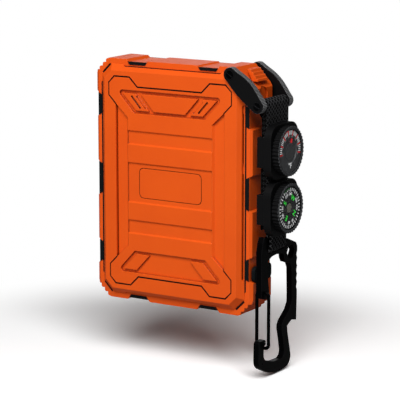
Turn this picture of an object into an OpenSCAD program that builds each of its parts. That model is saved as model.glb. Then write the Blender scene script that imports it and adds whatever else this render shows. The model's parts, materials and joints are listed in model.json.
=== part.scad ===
// Rugged jump starter pack with a swinging bail, a gauge strap and a carabiner.
// X to the right, Y to the back, Z up. Origin: centre of the case's flat base.

/* [Case] */
// Width of the case
case_w = 118.4; // [112:0.2:128]
// Height of the case
case_h = 158.4; // [150:0.2:175]
// Depth of the case, front face to rear face
case_d = 34; // [32:0.5:40]
// Depth of the step between a cover's face and the frame's shoulder
shoulder = 4.1; // [3.7:0.1:4.6]
// Leg of the case's corner chamfers, seen from the front
corner_cut = 10.2; // [9:0.1:11.5]
// Wall of the frame ring
frame_wall = 6.4; // [6:0.1:8]
// Side edge chamfer of the frame, across X
edge_cut_x = 2.3; // [1:0.1:2.8]
// Side edge chamfer of the frame, along Y
edge_cut_y = 1.7; // [0.8:0.1:2.4]

/* [Channels] */
// Depth of the channels across the top and bottom
channel_top = 1.4; // [0.8:0.1:1.8]
// Depth of the channels across the sides
channel_side = 2.2; // [1.2:0.1:2.6]
// Slope of a channel's end walls
channel_slant = 1.4; // [0.8:0.1:2]
// Floor length of the end channels
channel_len = 14.6; // [12:0.1:17]
// Floor length of the middle side channels
channel_mid = 21.4; // [16:0.1:24]
// Distance of the top channels from the middle
channel_x = 26.7; // [25:0.1:29]
// Distance of the side channels from the middle
channel_z = 48.8; // [46:0.1:50]
// How far the blocks between channels lie below the corner blocks
block_drop = 0.6; // [0.2:0.1:1]
// Height of a rubber inlay over the shoulder
inlay_rise = 0.5; // [0.3:0.1:0.9]

/* [Covers] */
// Gap between a cover's outline and the frame's outline at the sides
cover_side = 5.4; // [5:0.1:6]
// Gap between a cover's outline and the frame's outline at top and bottom
cover_top = 3.4; // [3:0.1:4]
// How far the middle of each cover edge steps in
cover_jog = 1.5; // [0.8:0.1:2]
// Width of the bevel round a cover's face
cover_bevel = 4.0; // [3:0.1:4.4]
// Leg of a cover's corner chamfers
cover_cut = 7.6; // [6.5:0.1:8.4]
// Width of the slot beside each corner
corner_slot = 1.3; // [0.8:0.1:1.6]

/* [Front plate] */
// Half width of the plate at its waist
plate_waist = 40.5; // [38:0.1:42]
// Half width of the plate at its corner lobes
plate_lobe = 45.9; // [44:0.1:47]
// Half height of the plate between its lobes
plate_mid = 61.9; // [60:0.1:63]
// Half height of the plate at its lobes
plate_top = 68; // [66:0.1:69]
// Dark gap round the plate
plate_gap = 0.6; // [0.3:0.05:0.8]
// Thickness of the plate
plate_t = 2.9; // [2.4:0.1:3]
// Half width of the raised centre of the plate
centre_w = 32; // [30:0.1:34]
// Depth of the channels beside the raised centre
side_depth = 1.8; // [1:0.1:2]
// Depth of the bands across the raised centre
band_depth = 1.0; // [0.5:0.1:1.4]
// Depth of the pockets at the plate's two ends
pocket_depth = 1.5; // [0.8:0.1:1.8]
// Width of the badge area
badge_w = 46.6; // [40:0.2:50]
// Height of the badge area
badge_h = 19.2; // [16:0.2:21]

/* [Bail] */
// Distance of the bail's pivot from the case's side
pivot_x = 13.2; // [12.4:0.1:14]
// Distance of the bail's pivot from the case's top
pivot_z = 3.9; // [3.6:0.1:4.4]
// Distance from the pivot to the strap bar
bail_len = 27; // [26:0.1:30]
// Angle of the bail below the horizontal at rest
bail_rest = 43.2; // [42:0.1:45]
// Thickness of a bail plate
bail_t = 4.8; // [4:0.1:5.4]
// Distance between the two bail plates
bail_gap = 28.4; // [28.2:0.1:29]
// Radius of the pivot pin
pivot_r = 1.8; // [1.4:0.1:2]
// Radius of the strap bar
bar_r = 2; // [1.8:0.1:2.4]

/* [Strap] */
// Width of the webbing
web_w = 27.8; // [24:0.1:27.8]
// Thickness of one layer of webbing
web_t = 1.7; // [1.4:0.1:1.9]
// Width of the webbing where it goes round the carabiner
web_low_w = 19.4; // [16:0.1:20]
// Gap between the two layers
layer_gap = 0.2; // [0.1:0.05:0.4]
// Distance from the strap bar down to the first gauge
gauge_drop = 29.2; // [27:0.1:31]
// Gap between the two gauge holders
holder_gap = 1.6; // [1.2:0.1:4]
// Distance from the second gauge down to the carabiner's top bar
clip_drop = 25.1; // [24.6:0.1:27]

/* [Gauges] */
// Side of a gauge holder
holder_w = 34.6; // [33.6:0.1:35.6]
// Height of the ears that hold the webbing
ear_h = 19; // [14:0.5:24]
// Depth of a gauge holder
holder_t = 5; // [4.4:0.1:6]
// Outer radius of the ridged ring
ring_r = 15.8; // [15.5:0.1:16.6]
// Height of the ridged ring
ring_t = 4.8; // [4:0.1:5.4]
// Radius of the dial
dial_r = 14.4; // [13:0.1:14.6]
// Depth of the dial's face under the ring's front
dial_drop = 1.6; // [1.6:0.1:2.2]
// Height of the clear dome
dome_h = 0.8; // [0.5:0.1:1.6]
// Number of ridges round a ring
ridges = 40; // [24:4:48]

/* [Carabiner] */
// Thickness of the carabiner's plate
clip_t = 4; // [3.6:0.1:4.4]
// Radius of the rounded bar that the webbing goes round
top_r = 2; // [1.7:0.1:2]
// Radius of the gate's wire
wire_r = 1.1; // [0.9:0.05:1.15]
// Radius of the hex wrench hole, over its corners
hex_r = 4.9; // [4:0.1:5.2]

/* [Ports] */
// Height of the jump cable socket
jump_h = 22; // [21:0.5:24]
// Height of the USB-A socket
usb_a_h = 13.2; // [12.8:0.1:13.6]
// Height of the USB-C socket
usb_c_h = 9; // [8.8:0.1:9.4]
// Gap between neighbouring sockets
socket_gap = 0.7; // [0.4:0.1:1.4]
// Width of the port cover, along the case's depth
door_w = 17.2; // [16.4:0.1:18]
// Thickness of the port cover
door_t = 2.2; // [1.8:0.1:2.6]
// Radius of the power button
button_r = 4.6; // [3.6:0.1:5]
// Travel of the power button
button_travel = 0.8; // [0.5:0.1:1]
// Radius of the torch lens
torch_r = 4.6; // [3.6:0.1:5]

/* [Battery] */
// Thickness of one pouch cell
cell_t = 4.8; // [4:0.1:5]
// Number of cells in the stack
cells = 4; // [3:1:4]

/* [Hidden] */
$fn = 64;
fit = 0.3;          // gap between pieces that move past each other
run = 0.05;         // running clearance of a pin
cx = case_w / 2;
cz = case_h / 2;
cy = case_d / 2;
sy = cy - shoulder;             // the frame's shoulders lie at y = -sy and sy
bumper_t = 2.2;
frame_cut = corner_cut + bumper_t * sqrt(2);
face_x = cx - cover_side - cover_bevel;
face_z = cz - cover_top - cover_bevel;
inner_x = cx - frame_wall;
inner_z = cz - frame_wall;

// bail and strap
piv = [cx - pivot_x, case_h - pivot_z];
bar = piv + bail_len * [cos(bail_rest), -sin(bail_rest)];
plate_in = bail_gap / 2;
web_out = bar[0] + bar_r + fit + web_t;           // outer face of the webbing
web_in = web_out - 2 * web_t - layer_gap;         // inner face of the stack
gauge_z = bar[1] - gauge_drop;
compass_z = gauge_z - holder_w - holder_gap;
clip_z = compass_z - clip_drop;
tail_t = 1;
tail_x = web_in - tail_t - 0.1;
holder_x = web_out + 0.1;
seat_x = holder_x + holder_t;
ring_x = seat_x + ring_t;
face_at = ring_x - dial_drop;      // printed faces of the gauges
ear_t = 1.1;

// carabiner: its plate lies across X, clip_y is the near edge of the front bar
clip_c = web_out - web_t - fit - top_r;
clip_x0 = clip_c - clip_t / 2;
clip_x1 = clip_c + clip_t / 2;
clip_y = -15.5;
top_bar = 3;
slot_h = web_t + 2 * fit + top_r - top_bar / 2;
gate_y = clip_y + 5.2;
gate_z = clip_z - 28.8;
gate_len = 36;
wire_out = clip_t / 2 + wire_r + 1.2;

// ports on the left side
door_z = 42;
door_x = -cx + 0.4;
barrel_r = door_t / 2;
hinge_x = door_x + barrel_r;
hinge_y = door_w / 2 - barrel_r;
hinge_pin_r = 0.6;
pin_tail = 2.4;
board_w = 24;
board_y = 6;
bay_x = door_x + door_t + 0.4;
port_lip = 2;
door_h = 2 * port_lip + jump_h + usb_a_h + usb_c_h + 4 * socket_gap;
jump_z = door_z + port_lip + socket_gap + jump_h / 2;
usb_a_z = jump_z + jump_h / 2 + socket_gap + usb_a_h / 2;
usb_c_z = usb_a_z + usb_a_h / 2 + socket_gap + usb_c_h / 2;
usb_a_y = board_y - 3;
button_z = door_z + door_h + button_r + 4.8;
torch_z = button_z + button_r + torch_r + 2.8;

switch_h = 6;
boss_r = 3.2;
boss_z = button_z - switch_h / 2 - 2 - boss_r;
screw_spots = [for (s = [-1, 1], z = [20, boss_z, case_h - 26])
    [s * (inner_x - boss_r + 0.8), z]];

orange = [0.88, 0.33, 0.1];
black = [0.1, 0.1, 0.1];
rubber = [0.07, 0.08, 0.08];
steel = [0.6, 0.61, 0.62];

// ---------- helpers ----------

// Turns a flat outline in (x, z) into a slab between y0 and y1
module slab(y0, y1) {
    rotate([90, 0, 0])
        translate([0, 0, -y1])
            linear_extrude(y1 - y0)
                children();
}

// Turns a flat outline in (y, z) into a slab between x0 and x1
module side_slab(x0, x1) {
    multmatrix([[0, 0, 1, x0], [1, 0, 0, 0], [0, 1, 0, 0], [0, 0, 0, 1]])
        linear_extrude(x1 - x0)
            children();
}

// A cylinder along X, from x0 to x1
module rod_x(x0, x1, r, y, z) {
    translate([x0, y, z])
        rotate([0, 90, 0])
            cylinder(r = r, h = x1 - x0);
}

// A cylinder along Y, from y0 to y1
module rod_y(y0, y1, r, x, z) {
    translate([x, y1, z])
        rotate([90, 0, 0])
            cylinder(r = r, h = y1 - y0);
}

// A block between two corners
module block(a, b) {
    translate(a)
        cube(b - a);
}

function arc(c, r, a0, a1, n) =
    [for (i = [0:n]) c + r * [cos(a0 + (a1 - a0) * i / n), sin(a0 + (a1 - a0) * i / n)]];

function round_rect(w, h, r, n = 6) = concat(
    arc([w / 2 - r, h / 2 - r], r, 0, 90, n),
    arc([-w / 2 + r, h / 2 - r], r, 90, 180, n),
    arc([-w / 2 + r, -h / 2 + r], r, 180, 270, n),
    arc([w / 2 - r, -h / 2 + r], r, 270, 360, n));

// An octagon round the middle of the case: half sizes and corner leg
function octagon(w, h, c) = [
    [w, cz + h - c], [w - c, cz + h], [-w + c, cz + h], [-w, cz + h - c],
    [-w, cz - h + c], [-w + c, cz - h], [w - c, cz - h], [w, cz - h + c]];

// A quarter outline repeated to all four corners about the middle of the case
function four_way(q) = concat(
    [for (p = q) [p[0], cz + p[1]]],
    [for (i = [len(q) - 1:-1:0]) [q[i][0], cz - q[i][1]]],
    [for (p = q) [-p[0], cz - p[1]]],
    [for (i = [len(q) - 1:-1:0]) [-q[i][0], cz + q[i][1]]]);

// ---------- case outlines ----------

// Trapezoid channel across an edge: floor length, depth, centre along the edge
module channel(len, depth) {
    polygon([
        [-len / 2, -depth], [len / 2, -depth],
        [len / 2 + channel_slant, 0], [len / 2 + channel_slant, 2],
        [-len / 2 - channel_slant, 2], [-len / 2 - channel_slant, 0]]);
}

// The channels and lowered blocks round the whole edge, as a flat shape to cut
module edge_cuts() {
    for (up = [0, 1])
        translate([0, up * case_h])
            mirror([0, 1 - up]) {
                for (s = [-1, 1])
                    translate([s * channel_x, 0])
                        channel(channel_len, channel_top);
                // the middle block of the base stays level with the corners
                if (up == 1)
                    channel(2 * (channel_x - channel_len / 2), block_drop);
            }
    for (s = [-1, 1])
        translate([s * cx, cz])
            rotate(-90 * s) {
                for (t = [-1, 1])
                    translate([t * channel_z, 0])
                        channel(channel_len, channel_side);
                channel(channel_mid, channel_side);
                channel(2 * (channel_z - channel_len / 2), block_drop);
            }
}

module frame_outline() {
    difference() {
        polygon(octagon(cx, cz, frame_cut));
        edge_cuts();
    }
}

// A cover's outline steps in between its corner zones
function cover_quarter(grow) =
    let (
        w = cx - cover_side + grow,
        h = cz - cover_top + grow,
        zj = channel_z + channel_len / 2,
        xj = channel_x + channel_len / 2 + 2)
    [
        [0, h - cover_jog], [xj, h - cover_jog], [xj + cover_jog, h],
        [w - cover_cut, h], [w, h - cover_cut],
        [w, zj + cover_jog - 1], [w - cover_jog, zj - 1]];

// The bail plate's outline, with its two long sides slightly bowed
bail_ang = -bail_rest;
function bail_outline(grow = 0) =
    let (
        l = bail_len,
        r = 4.4 + grow,
        side = 13)
    [for (p = concat(
        arc([0, 0], r, 112, 262, 10),
        [for (i = [1:side - 1])
            let (t = i / side)
            [l * t, -r * 0.97 - 1.1 * sin(180 * t)]],
        arc([l, 0], r, -84, 70, 10),
        [for (i = [1:side - 1])
            let (t = 1 - i / side)
            [l * t, r * 0.93 + 2.4 * sin(180 * t)]]))
        piv + [
            p[0] * cos(bail_ang) - p[1] * sin(bail_ang),
            p[0] * sin(bail_ang) + p[1] * cos(bail_ang)]];

// Everything that a bail plate sweeps over the case, up to straight up and over
module bail_sweep() {
    polygon(bail_outline(fit + 0.1));
    translate(piv)
        circle(r = 4.4 + fit + 0.1);
    translate(piv)
        rotate(-bail_rest)
            square([bail_len + 6, 12]);
    translate(piv)
        square(40);
}

// ---------- case ----------

module cover_body(side) {
    difference() {
        slab(sy, cy)
            polygon(four_way(cover_quarter(0)));
        // the bevel round the face, on the four sides and the four corners
        for (s = [-1, 1]) {
            translate([s * face_x, cy, cz])
                rotate([0, 0, s * 45])
                    translate([s < 0 ? -20 : 0, -20, -case_h])
                        cube([20, 40, 2 * case_h]);
            translate([0, cy, cz + s * face_z])
                rotate([-s * 45, 0, 0])
                    translate([-case_w, -20, s < 0 ? -20 : 0])
                        cube([2 * case_w, 40, 20]);
        }
        face_leg = cover_cut - cover_bevel * (2 - sqrt(2));
        for (a = [0, 180])
            for (m = [0, 1])
                translate([0, 0, cz])
                    rotate([0, a, 0])
                        mirror([m, 0, 0])
                            translate([face_x - face_leg / 2, cy, face_z - face_leg / 2])
                                rotate([0, -45, 0])
                                    rotate([0, 0, 45])
                                        translate([0, -20, -30])
                                            cube([20, 40, 60]);
    }
}

// Front plate outline, grown all round by g
function plate_quarter(g) = [
    [plate_mid - 37.6 + g * 0.4, plate_mid + g],
    [plate_mid - 37.6 + plate_top - plate_mid + g * 0.4, plate_top + g],
    [plate_lobe - 4.1 + g * 0.4, plate_top + g],
    [plate_lobe + g, plate_top - 4.1 + g * 0.4],
    [plate_lobe + g, plate_top - 12.1 - g * 0.4],
    [plate_waist + g, plate_top - 12.1 - (plate_lobe - plate_waist) - g * 0.4]];

module front_cover() {
    color(orange)
        difference() {
            mirror([0, 1, 0])
                cover_body();
            slab(-cy - 1, -cy + plate_t + 0.1)
                polygon(four_way(plate_quarter(plate_gap)));
            slab(-cy - 1, -plate_in + fit)
                bail_sweep();
            rod_y(-cy, -sy + 1, pivot_r + run, piv[0], piv[1]);
            // blind holes for the screws from the rear
            for (p = screw_spots)
                rod_y(-sy - 1.2, -sy + 1, 1.25, p[0], p[1]);
        }
}

// End pocket of the plate: half widths at its outer and inner edges
pocket_out = 37.7;
pocket_in = 26.9;
pocket_lo = 16.8;
pocket_hi = 2.2;
pad_in = 4.0;

module pocket_pads(with_middle) {
    top = plate_mid - pocket_hi - 1.9;
    low = plate_mid - pocket_lo + 2;
    for (s = [-1, 1])
        polygon([
            [s * (pocket_out - 12.1), top], [s * (pocket_out - 2.2), top],
            [s * (pocket_in - 1.8), low], [s * (pocket_in - 11.3), low]]);
    if (with_middle)
        polygon([
            [-pocket_out + 16.1, top], [pocket_out - 16.1, top],
            [pocket_in - 15.1, low], [-pocket_in + 15.1, low]]);
}

module end_pocket(with_middle) {
    top = plate_mid - pocket_hi;
    low = plate_mid - pocket_lo;
    difference() {
        polygon(concat(
            [[pocket_in, low]],
            arc([pocket_out - 2, top - 2], 2.2, -40, 90, 6),
            arc([-pocket_out + 2, top - 2], 2.2, 90, 220, 6),
            [[-pocket_in, low]]));
        pocket_pads(with_middle);
    }
}

// Band across the raised centre with sloped long edges
module band(z0, z1) {
    translate([-centre_w - 2, -cy, cz])
        rotate([90, 0, 90])
            linear_extrude(2 * centre_w + 4)
                polygon([
                    [-1, z0 - 0.6], [0, z0 - 0.3], [band_depth, z0 + 0.5],
                    [band_depth, z1 - 0.5], [0, z1 + 0.3], [-1, z1 + 0.6]]);
}

module pad_slots() {
    for (s = [-1, 1], i = [0, 1])
        translate([s * (pocket_in - 1.6 - 3.9 * i), plate_mid - 9.4])
            rotate(s * -42)
                translate([-0.65, -5.2])
                    square([1.3, 10.4]);
}

module front_plate() {
    color(orange)
        difference() {
            slab(-cy, -cy + plate_t)
                polygon(four_way(plate_quarter(0)));
            // channels on both sides of the raised centre
            for (s = [0, 1])
                mirror([s, 0, 0])
                    intersection() {
                        slab(-cy - 1, -cy + side_depth)
                            polygon([
                                [centre_w - 1, cz + plate_top - 26.7],
                                [centre_w, cz + plate_top - 25.7],
                                [plate_lobe + 1, cz + plate_top - 11.8 + (centre_w - 32)],
                                [plate_lobe + 1, cz - plate_top + 11.8 - (centre_w - 32)],
                                [centre_w, cz - plate_top + 25.7],
                                [centre_w - 1, cz - plate_top + 26.7]]);
                        linear_extrude(case_h)
                            polygon([
                                [centre_w - 0.6, -cy - 1], [centre_w - 0.4, -cy],
                                [centre_w + 1.1, -cy + side_depth],
                                [plate_lobe + 2, -cy + side_depth],
                                [plate_lobe + 2, -cy - 1]]);
                    }
            intersection() {
                union() {
                    band(24.9, 33.6);
                    band(-13.1, 12.8);
                    band(-33.6, -24.9);
                }
                block([-centre_w + 0.1, -cy - 1, 0], [centre_w - 0.1, 0, case_h]);
            }
            slab(-cy - 1, -cy + pocket_depth)
                translate([0, cz])
                    end_pocket(true);
            slab(-cy - 1, -cy + pocket_depth)
                translate([0, cz])
                    mirror([0, 1])
                        end_pocket(false);
            slab(-cy - 1, -cy + pocket_depth - 0.4)
                translate([0, cz])
                    pad_slots();
            slab(-cy - 1, -cy + band_depth + 0.9)
                translate([0, cz])
                    polygon(round_rect(badge_w + 0.8, badge_h + 0.8, 3.2));
        }
}

module badge() {
    color(orange)
        slab(-cy + band_depth, -cy + band_depth + 0.9)
            translate([0, cz])
                polygon(round_rect(badge_w, badge_h, 3));
}

module mid_frame() {
    color(orange)
        difference() {
            slab(-sy, sy)
                frame_outline();
            // side edge chamfers, front and rear, left and right
            for (a = [0, 1], b = [0, 1])
                mirror([a, 0, 0])
                    mirror([0, b, 0])
                        translate([0, 0, -1])
                            linear_extrude(case_h + 2)
                                polygon([
                                    [cx - edge_cut_x, sy + 0.1],
                                    [cx + 1, sy + 0.1],
                                    [cx + 1, sy - edge_cut_y],
                                    [cx, sy - edge_cut_y],
                                    [cx - edge_cut_x, sy]]);
            // the battery and board bay
            slab(-sy - 1, sy + 1)
                difference() {
                    polygon(octagon(inner_x, inner_z, frame_cut - 1));
                    for (p = screw_spots)
                        translate(p)
                            circle(r = boss_r);
                }
            for (p = screw_spots)
                rod_y(-sy - 1, sy + 1, 1.3, p[0], p[1]);
            gasket_groove(-1);
            gasket_groove(1);
            // slots beside the corners
            for (s = [-1, 1])
                corner_slots(s, 1.6);
            // the corner under the grip, open on both sides of it
            slab(-sy - 1, sy + 1)
                grip_notch();
            // the pivot bore
            rod_y(-sy - 1, sy + 1, pivot_r + run, piv[0], piv[1]);
            // thumb recess in the right side
            thumb_recess();
            side_pad_cut();
            port_cuts();
        }
}

module mirror_corner(q) {
    translate([0, 0, cz])
        mirror([q[0] < 0 ? 1 : 0, 0, 0])
            mirror([0, 0, q[1] < 0 ? 1 : 0])
                children();
}

// Corners that carry a bumper: all but the bail's corner
bumper_spots = [[-1, 1], [-1, -1], [1, -1]];

module corner_slots(side, depth) {
    reach = cover_cut * sqrt(2) - 2;
    for (q = bumper_spots)
        mirror_corner(q)
            mirror([0, side > 0 ? 1 : 0, 0])
                translate([cx - cover_side - cover_cut / 2, -sy, cz - cover_top - cover_cut / 2])
                    rotate([0, 45, 0])
                        block([-reach / 2, -1, 0], [reach / 2, depth, corner_slot]);
}

module corner_strips() {
    color(rubber)
        for (q = bumper_spots, side = [-1, 1]) {
            reach = cover_cut * sqrt(2) - 2;
            mirror_corner(q)
                mirror([0, side > 0 ? 1 : 0, 0])
                    translate([cx - cover_side - cover_cut / 2, -sy, cz - cover_top - cover_cut / 2])
                        rotate([0, 45, 0])
                            block(
                                [-reach / 2 + 0.05, 0.5, 0.05],
                                [reach / 2 - 0.05, 1.6, corner_slot - 0.05]);
        }
}

// Scalloped bumpers over the corner chamfers
bumps = 4;
bump_h = 1;
bump_steps = 6;
module corner_bumpers() {
    color(orange)
        for (q = bumper_spots)
            mirror_corner(q)
                difference() {
                    slab(-sy, sy)
                        polygon(concat(
                            [[cx - frame_cut, cz], [cx - corner_cut, cz]],
                            [for (i = [1:bump_steps * bumps - 1])
                                let (
                                    t = corner_cut * i / (bump_steps * bumps),
                                    out = bump_h * (abs(sin(180 * i / bump_steps)) - 0.5))
                                [cx - corner_cut + t + out, cz - t + out]],
                            [[cx, cz - corner_cut], [cx, cz - frame_cut]]));
                    for (b = [0, 1])
                        mirror([0, b, 0])
                            translate([0, 0, -case_h])
                                linear_extrude(2 * case_h)
                                    polygon([
                                        [cx - edge_cut_x, sy + 0.1],
                                        [cx + 2, sy + 0.1],
                                        [cx + 2, sy - edge_cut_y],
                                        [cx, sy - edge_cut_y],
                                        [cx - edge_cut_x, sy]]);
                }
}

grip_w = 12.4;

module grip_notch() {
    polygon([
        [cx - 8.2, case_h + 1], [cx - 8.2, case_h - 1.6], [cx - 4.4, case_h - 8.9],
        [cx + 1, case_h - 8.9], [cx + 1, case_h + 1]]);
}

// Stepped grip between the bail plates
module corner_grip() {
    color(orange)
        slab(-grip_w / 2, grip_w / 2)
            difference() {
                polygon([
                    [cx - 8.2, case_h - 1.6], [cx - 7.6, case_h - 1.2],
                    [cx - 5.6, case_h - 1.6], [cx - 4.9, case_h - 3.2],
                    [cx - 3.9, case_h - 3.4], [cx - 3.3, case_h - 5.2],
                    [cx - 2.3, case_h - 5.5], [cx - 1.7, case_h - 7.2],
                    [cx - 0.9, case_h - 7.5], [cx - 0.5, case_h - 8.9],
                    [cx - 4.4, case_h - 8.9]]);
            }
}

module thumb_recess() {
    translate([cx - 1, 0, 0])
        side_slab(0, 3)
            union() {
                translate([0, case_h - 17.6])
                    circle(r = 5.2);
                translate([-5.2, case_h - 36])
                    square([10.4, 18.4]);
            }
}

// Rubber pad low on the right side
pad_z = 27;
module side_pad_cut() {
    translate([cx - 1.8, 0, 0])
        side_slab(0, 4)
            translate([0, pad_z])
                polygon(round_rect(21.6, 10.6, 3.3));
}

module side_pad() {
    color(rubber)
        translate([cx - 1.8, 0, 0])
            side_slab(0, 2.4)
                translate([0, pad_z])
                    polygon(round_rect(21, 10, 3));
}

module gasket_groove(side) {
    slab(side > 0 ? sy - 0.8 : -sy - 1, side > 0 ? sy + 1 : -sy + 0.8)
        gasket_ring(0.05);
}

module gasket_ring(grow) {
    difference() {
        polygon(octagon(inner_x + 1.9 + grow, inner_z + 1.9 + grow, frame_cut - 1.6));
        polygon(octagon(inner_x + 0.9 - grow, inner_z + 0.9 - grow, frame_cut - 1.4));
    }
}

module front_gasket() {
    color(rubber)
        slab(-sy, -sy + 0.8)
            gasket_ring(0);
}

module rear_gasket() {
    color(rubber)
        slab(sy - 0.8, sy)
            gasket_ring(0);
}

// One inlay: its long edge lies along y = 0 and it reaches down by rise
module inlay(len, rise) {
    polygon([
        [-len / 2, 0], [len / 2, 0],
        [len / 2 - channel_slant, -rise], [-len / 2 + channel_slant, -rise]]);
}

module inlays() {
    slab(-sy - inlay_rise, -sy) {
        for (up = [0, 1], s = [-1, 1])
            translate([s * channel_x, up * case_h])
                mirror([0, 1 - up])
                    translate([0, -channel_top])
                        inlay(channel_len, 2);
        for (s = [-1, 1])
            translate([s * cx, cz])
                rotate(-90 * s) {
                    for (t = [-1, 1])
                        translate([t * channel_z, -channel_side - 0.1])
                            inlay(channel_len, 2.8);
                    translate([0, -channel_side - 0.1])
                        inlay(channel_mid, 2.8);
                }
    }
}

module front_inlays() {
    color(rubber)
        inlays();
}

module rear_inlays() {
    color(rubber)
        mirror([0, 1, 0])
            inlays();
}

module rear_cover() {
    color(orange)
        difference() {
            cover_body();
            slab(plate_in - fit, cy + 1)
                bail_sweep();
            // groove round the rear panel, and two shallow bands
            slab(cy - 0.8, cy + 1)
                difference() {
                    polygon(four_way(plate_quarter(0.4)));
                    polygon(four_way(plate_quarter(-0.4)));
                }
            for (z = [-29, 29])
                slab(cy - 1, cy + 1)
                    translate([0, cz + z])
                        polygon(round_rect(2 * centre_w, 9, 2));
            rod_y(sy - 1, cy, pivot_r + run, piv[0], piv[1]);
            for (p = screw_spots) {
                rod_y(sy - 1, cy + 1, 1.3, p[0], p[1]);
                rod_y(cy - 2.2, cy + 1, 2.5, p[0], p[1]);
            }
        }
}

module case_screws() {
    color(steel)
        for (p = screw_spots)
            difference() {
                union() {
                    rod_y(-sy - 1, cy - 2.2, 1.2, p[0], p[1]);
                    rod_y(cy - 2.2, cy - 0.6, 2.3, p[0], p[1]);
                }
                rod_y(cy - 1.4, cy, 1, p[0], p[1], $fn = 6);
            }
}

// ---------- battery and electronics ----------

bay_y = sy - 0.3;
stack_y = cells * (cell_t + 0.3);
cell_w = 62;
cell_h = 112;
cell_x0 = -18;
cell_z0 = 20;

module battery_cells() {
    color([0.75, 0.77, 0.8])
        for (i = [0:cells - 1])
            slab(-stack_y / 2 + i * (cell_t + 0.3), -stack_y / 2 + i * (cell_t + 0.3) + cell_t)
                translate([cell_x0 + cell_w / 2, cell_z0 + cell_h / 2])
                    polygon(round_rect(cell_w, cell_h, 2, 4));
}

module cell_tray() {
    color([0.15, 0.15, 0.16])
        difference() {
            block(
                [cell_x0 - 1.5, -bay_y, cell_z0 - 1.5],
                [cell_x0 + cell_w + 1.5, bay_y, cell_z0 + cell_h + 1.5]);
            block(
                [cell_x0 - 0.1, -stack_y / 2 - 0.05, cell_z0 - 0.1],
                [cell_x0 + cell_w + 0.1, stack_y / 2 + 0.05, cell_z0 + cell_h + 5]);
            for (i = [0:4])
                block(
                    [cell_x0 + 5 + 11 * i, -bay_y - 1, cell_z0 + 8],
                    [cell_x0 + 12 + 11 * i, bay_y + 1, cell_z0 + cell_h - 8]);
        }
}

module cell_tabs() {
    color([0.8, 0.75, 0.6])
        for (i = [0:cells - 1], s = [0, 1])
            translate([
                cell_x0 + 10 + s * (cell_w - 28),
                -stack_y / 2 + i * (cell_t + 0.3) + cell_t / 2,
                cell_z0 + cell_h])
                cube([8, 0.3, 3]);
}

module control_board() {
    color([0.05, 0.3, 0.15])
        difference() {
            block(
                [-inner_x + 0.2, board_y, door_z - 6],
                [-inner_x + 0.2 + board_w, board_y + 1.6, torch_z + 9]);
            for (z = [door_z, torch_z + 3])
                rod_y(5, 9, 1.2, -inner_x + 18, z);
            for (p = screw_spots)
                rod_y(5, 9, boss_r + fit, p[0], p[1]);
        }
}

module power_parts() {
    color([0.12, 0.12, 0.13])
        for (i = [0:3])
            block(
                [-inner_x + 14, board_y - 2.6, door_z + 12 * i + 3],
                [-inner_x + 22, board_y, door_z + 12 * i + 11]);
}

// The sockets stand side by side in the port bay and open to the left
jump_w = 11;
jump_bore = 3.4;
jump_pitch = 10;

module jump_socket() {
    color([0.05, 0.12, 0.4])
        difference() {
            side_slab(bay_x, bay_x + 16)
                translate([0, jump_z])
                    polygon([
                        [-jump_w / 2, -jump_h / 2], [jump_w / 2, -jump_h / 2],
                        [jump_w / 2, jump_h / 2 - 2], [jump_w / 2 - 2, jump_h / 2],
                        [-jump_w / 2 + 2, jump_h / 2], [-jump_w / 2, jump_h / 2 - 2]]);
            for (s = [-1, 1]) {
                rod_x(bay_x - 1, bay_x + 12, jump_bore, 0, jump_z + jump_pitch / 2 * s);
                rod_x(bay_x + 11, bay_x + 17, 2, 0, jump_z + jump_pitch / 2 * s);
            }
        }
}

module socket_contacts() {
    color([0.85, 0.7, 0.3])
        for (s = [-1, 1])
            difference() {
                rod_x(bay_x + 4, bay_x + 12, jump_bore - run, 0, jump_z + jump_pitch / 2 * s);
                rod_x(bay_x + 3, bay_x + 11, jump_bore - 0.8, 0, jump_z + jump_pitch / 2 * s);
            }
}

module usb_a_socket() {
    color(steel) {
        difference() {
            block(
                [bay_x, usb_a_y - 2.9, usb_a_z - usb_a_h / 2],
                [bay_x + 14, usb_a_y + 2.9, usb_a_z + usb_a_h / 2]);
            block(
                [bay_x - 1, usb_a_y - 2.5, usb_a_z - usb_a_h / 2 + 0.4],
                [bay_x + 13, usb_a_y + 2.5, usb_a_z + usb_a_h / 2 - 0.4]);
        }
        block(
            [bay_x + 2, usb_a_y + 0.3, usb_a_z - usb_a_h / 2 + 1.1],
            [bay_x + 13.2, usb_a_y + 2.1, usb_a_z + usb_a_h / 2 - 1.1]);
    }
}

module usb_c_socket() {
    color(steel)
        translate([bay_x, board_y - 1.9, usb_c_z])
            difference() {
                side_slab(0, 8)
                    polygon(round_rect(3.6, usb_c_h, 1.6));
                translate([-1, 0, 0])
                    side_slab(0, 8)
                        polygon(round_rect(3, usb_c_h - 0.6, 1.4));
            }
}

module button_switch() {
    color(black) {
        block(
            [-inner_x + 2, -3, button_z - switch_h / 2],
            [-inner_x + 6, board_y, button_z + switch_h / 2]);
        rod_x(-inner_x + 0.9, -inner_x + 2, 1.6, 0, button_z);
    }
}

module status_lights() {
    color([0.8, 0.9, 0.95])
        for (i = [0:3])
            rod_x(-cx + 0.7, -inner_x + 2, 0.9, -9, button_z - 2.8 + 2.6 * i);
}

module torch_lens() {
    color([0.85, 0.9, 0.95, 0.5])
        rod_x(-cx + 0.8, -cx + 2.4, torch_r, 0, torch_z);
}

module torch_reflector() {
    color([0.8, 0.8, 0.82])
        translate([-cx + 2.4, 0, torch_z])
            rotate([0, 90, 0])
                rotate_extrude()
                    polygon([
                        [torch_r, 0], [torch_r, 5], [1.4, 5], [1.4, 4.2],
                        [2.6, 3.4], [3.6, 1.8], [torch_r - 0.6, 0]]);
}

module torch_led() {
    color([0.95, 0.9, 0.6])
        rod_x(-cx + 6.4, -cx + 9.4, 1.3, 0, torch_z);
}

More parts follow.
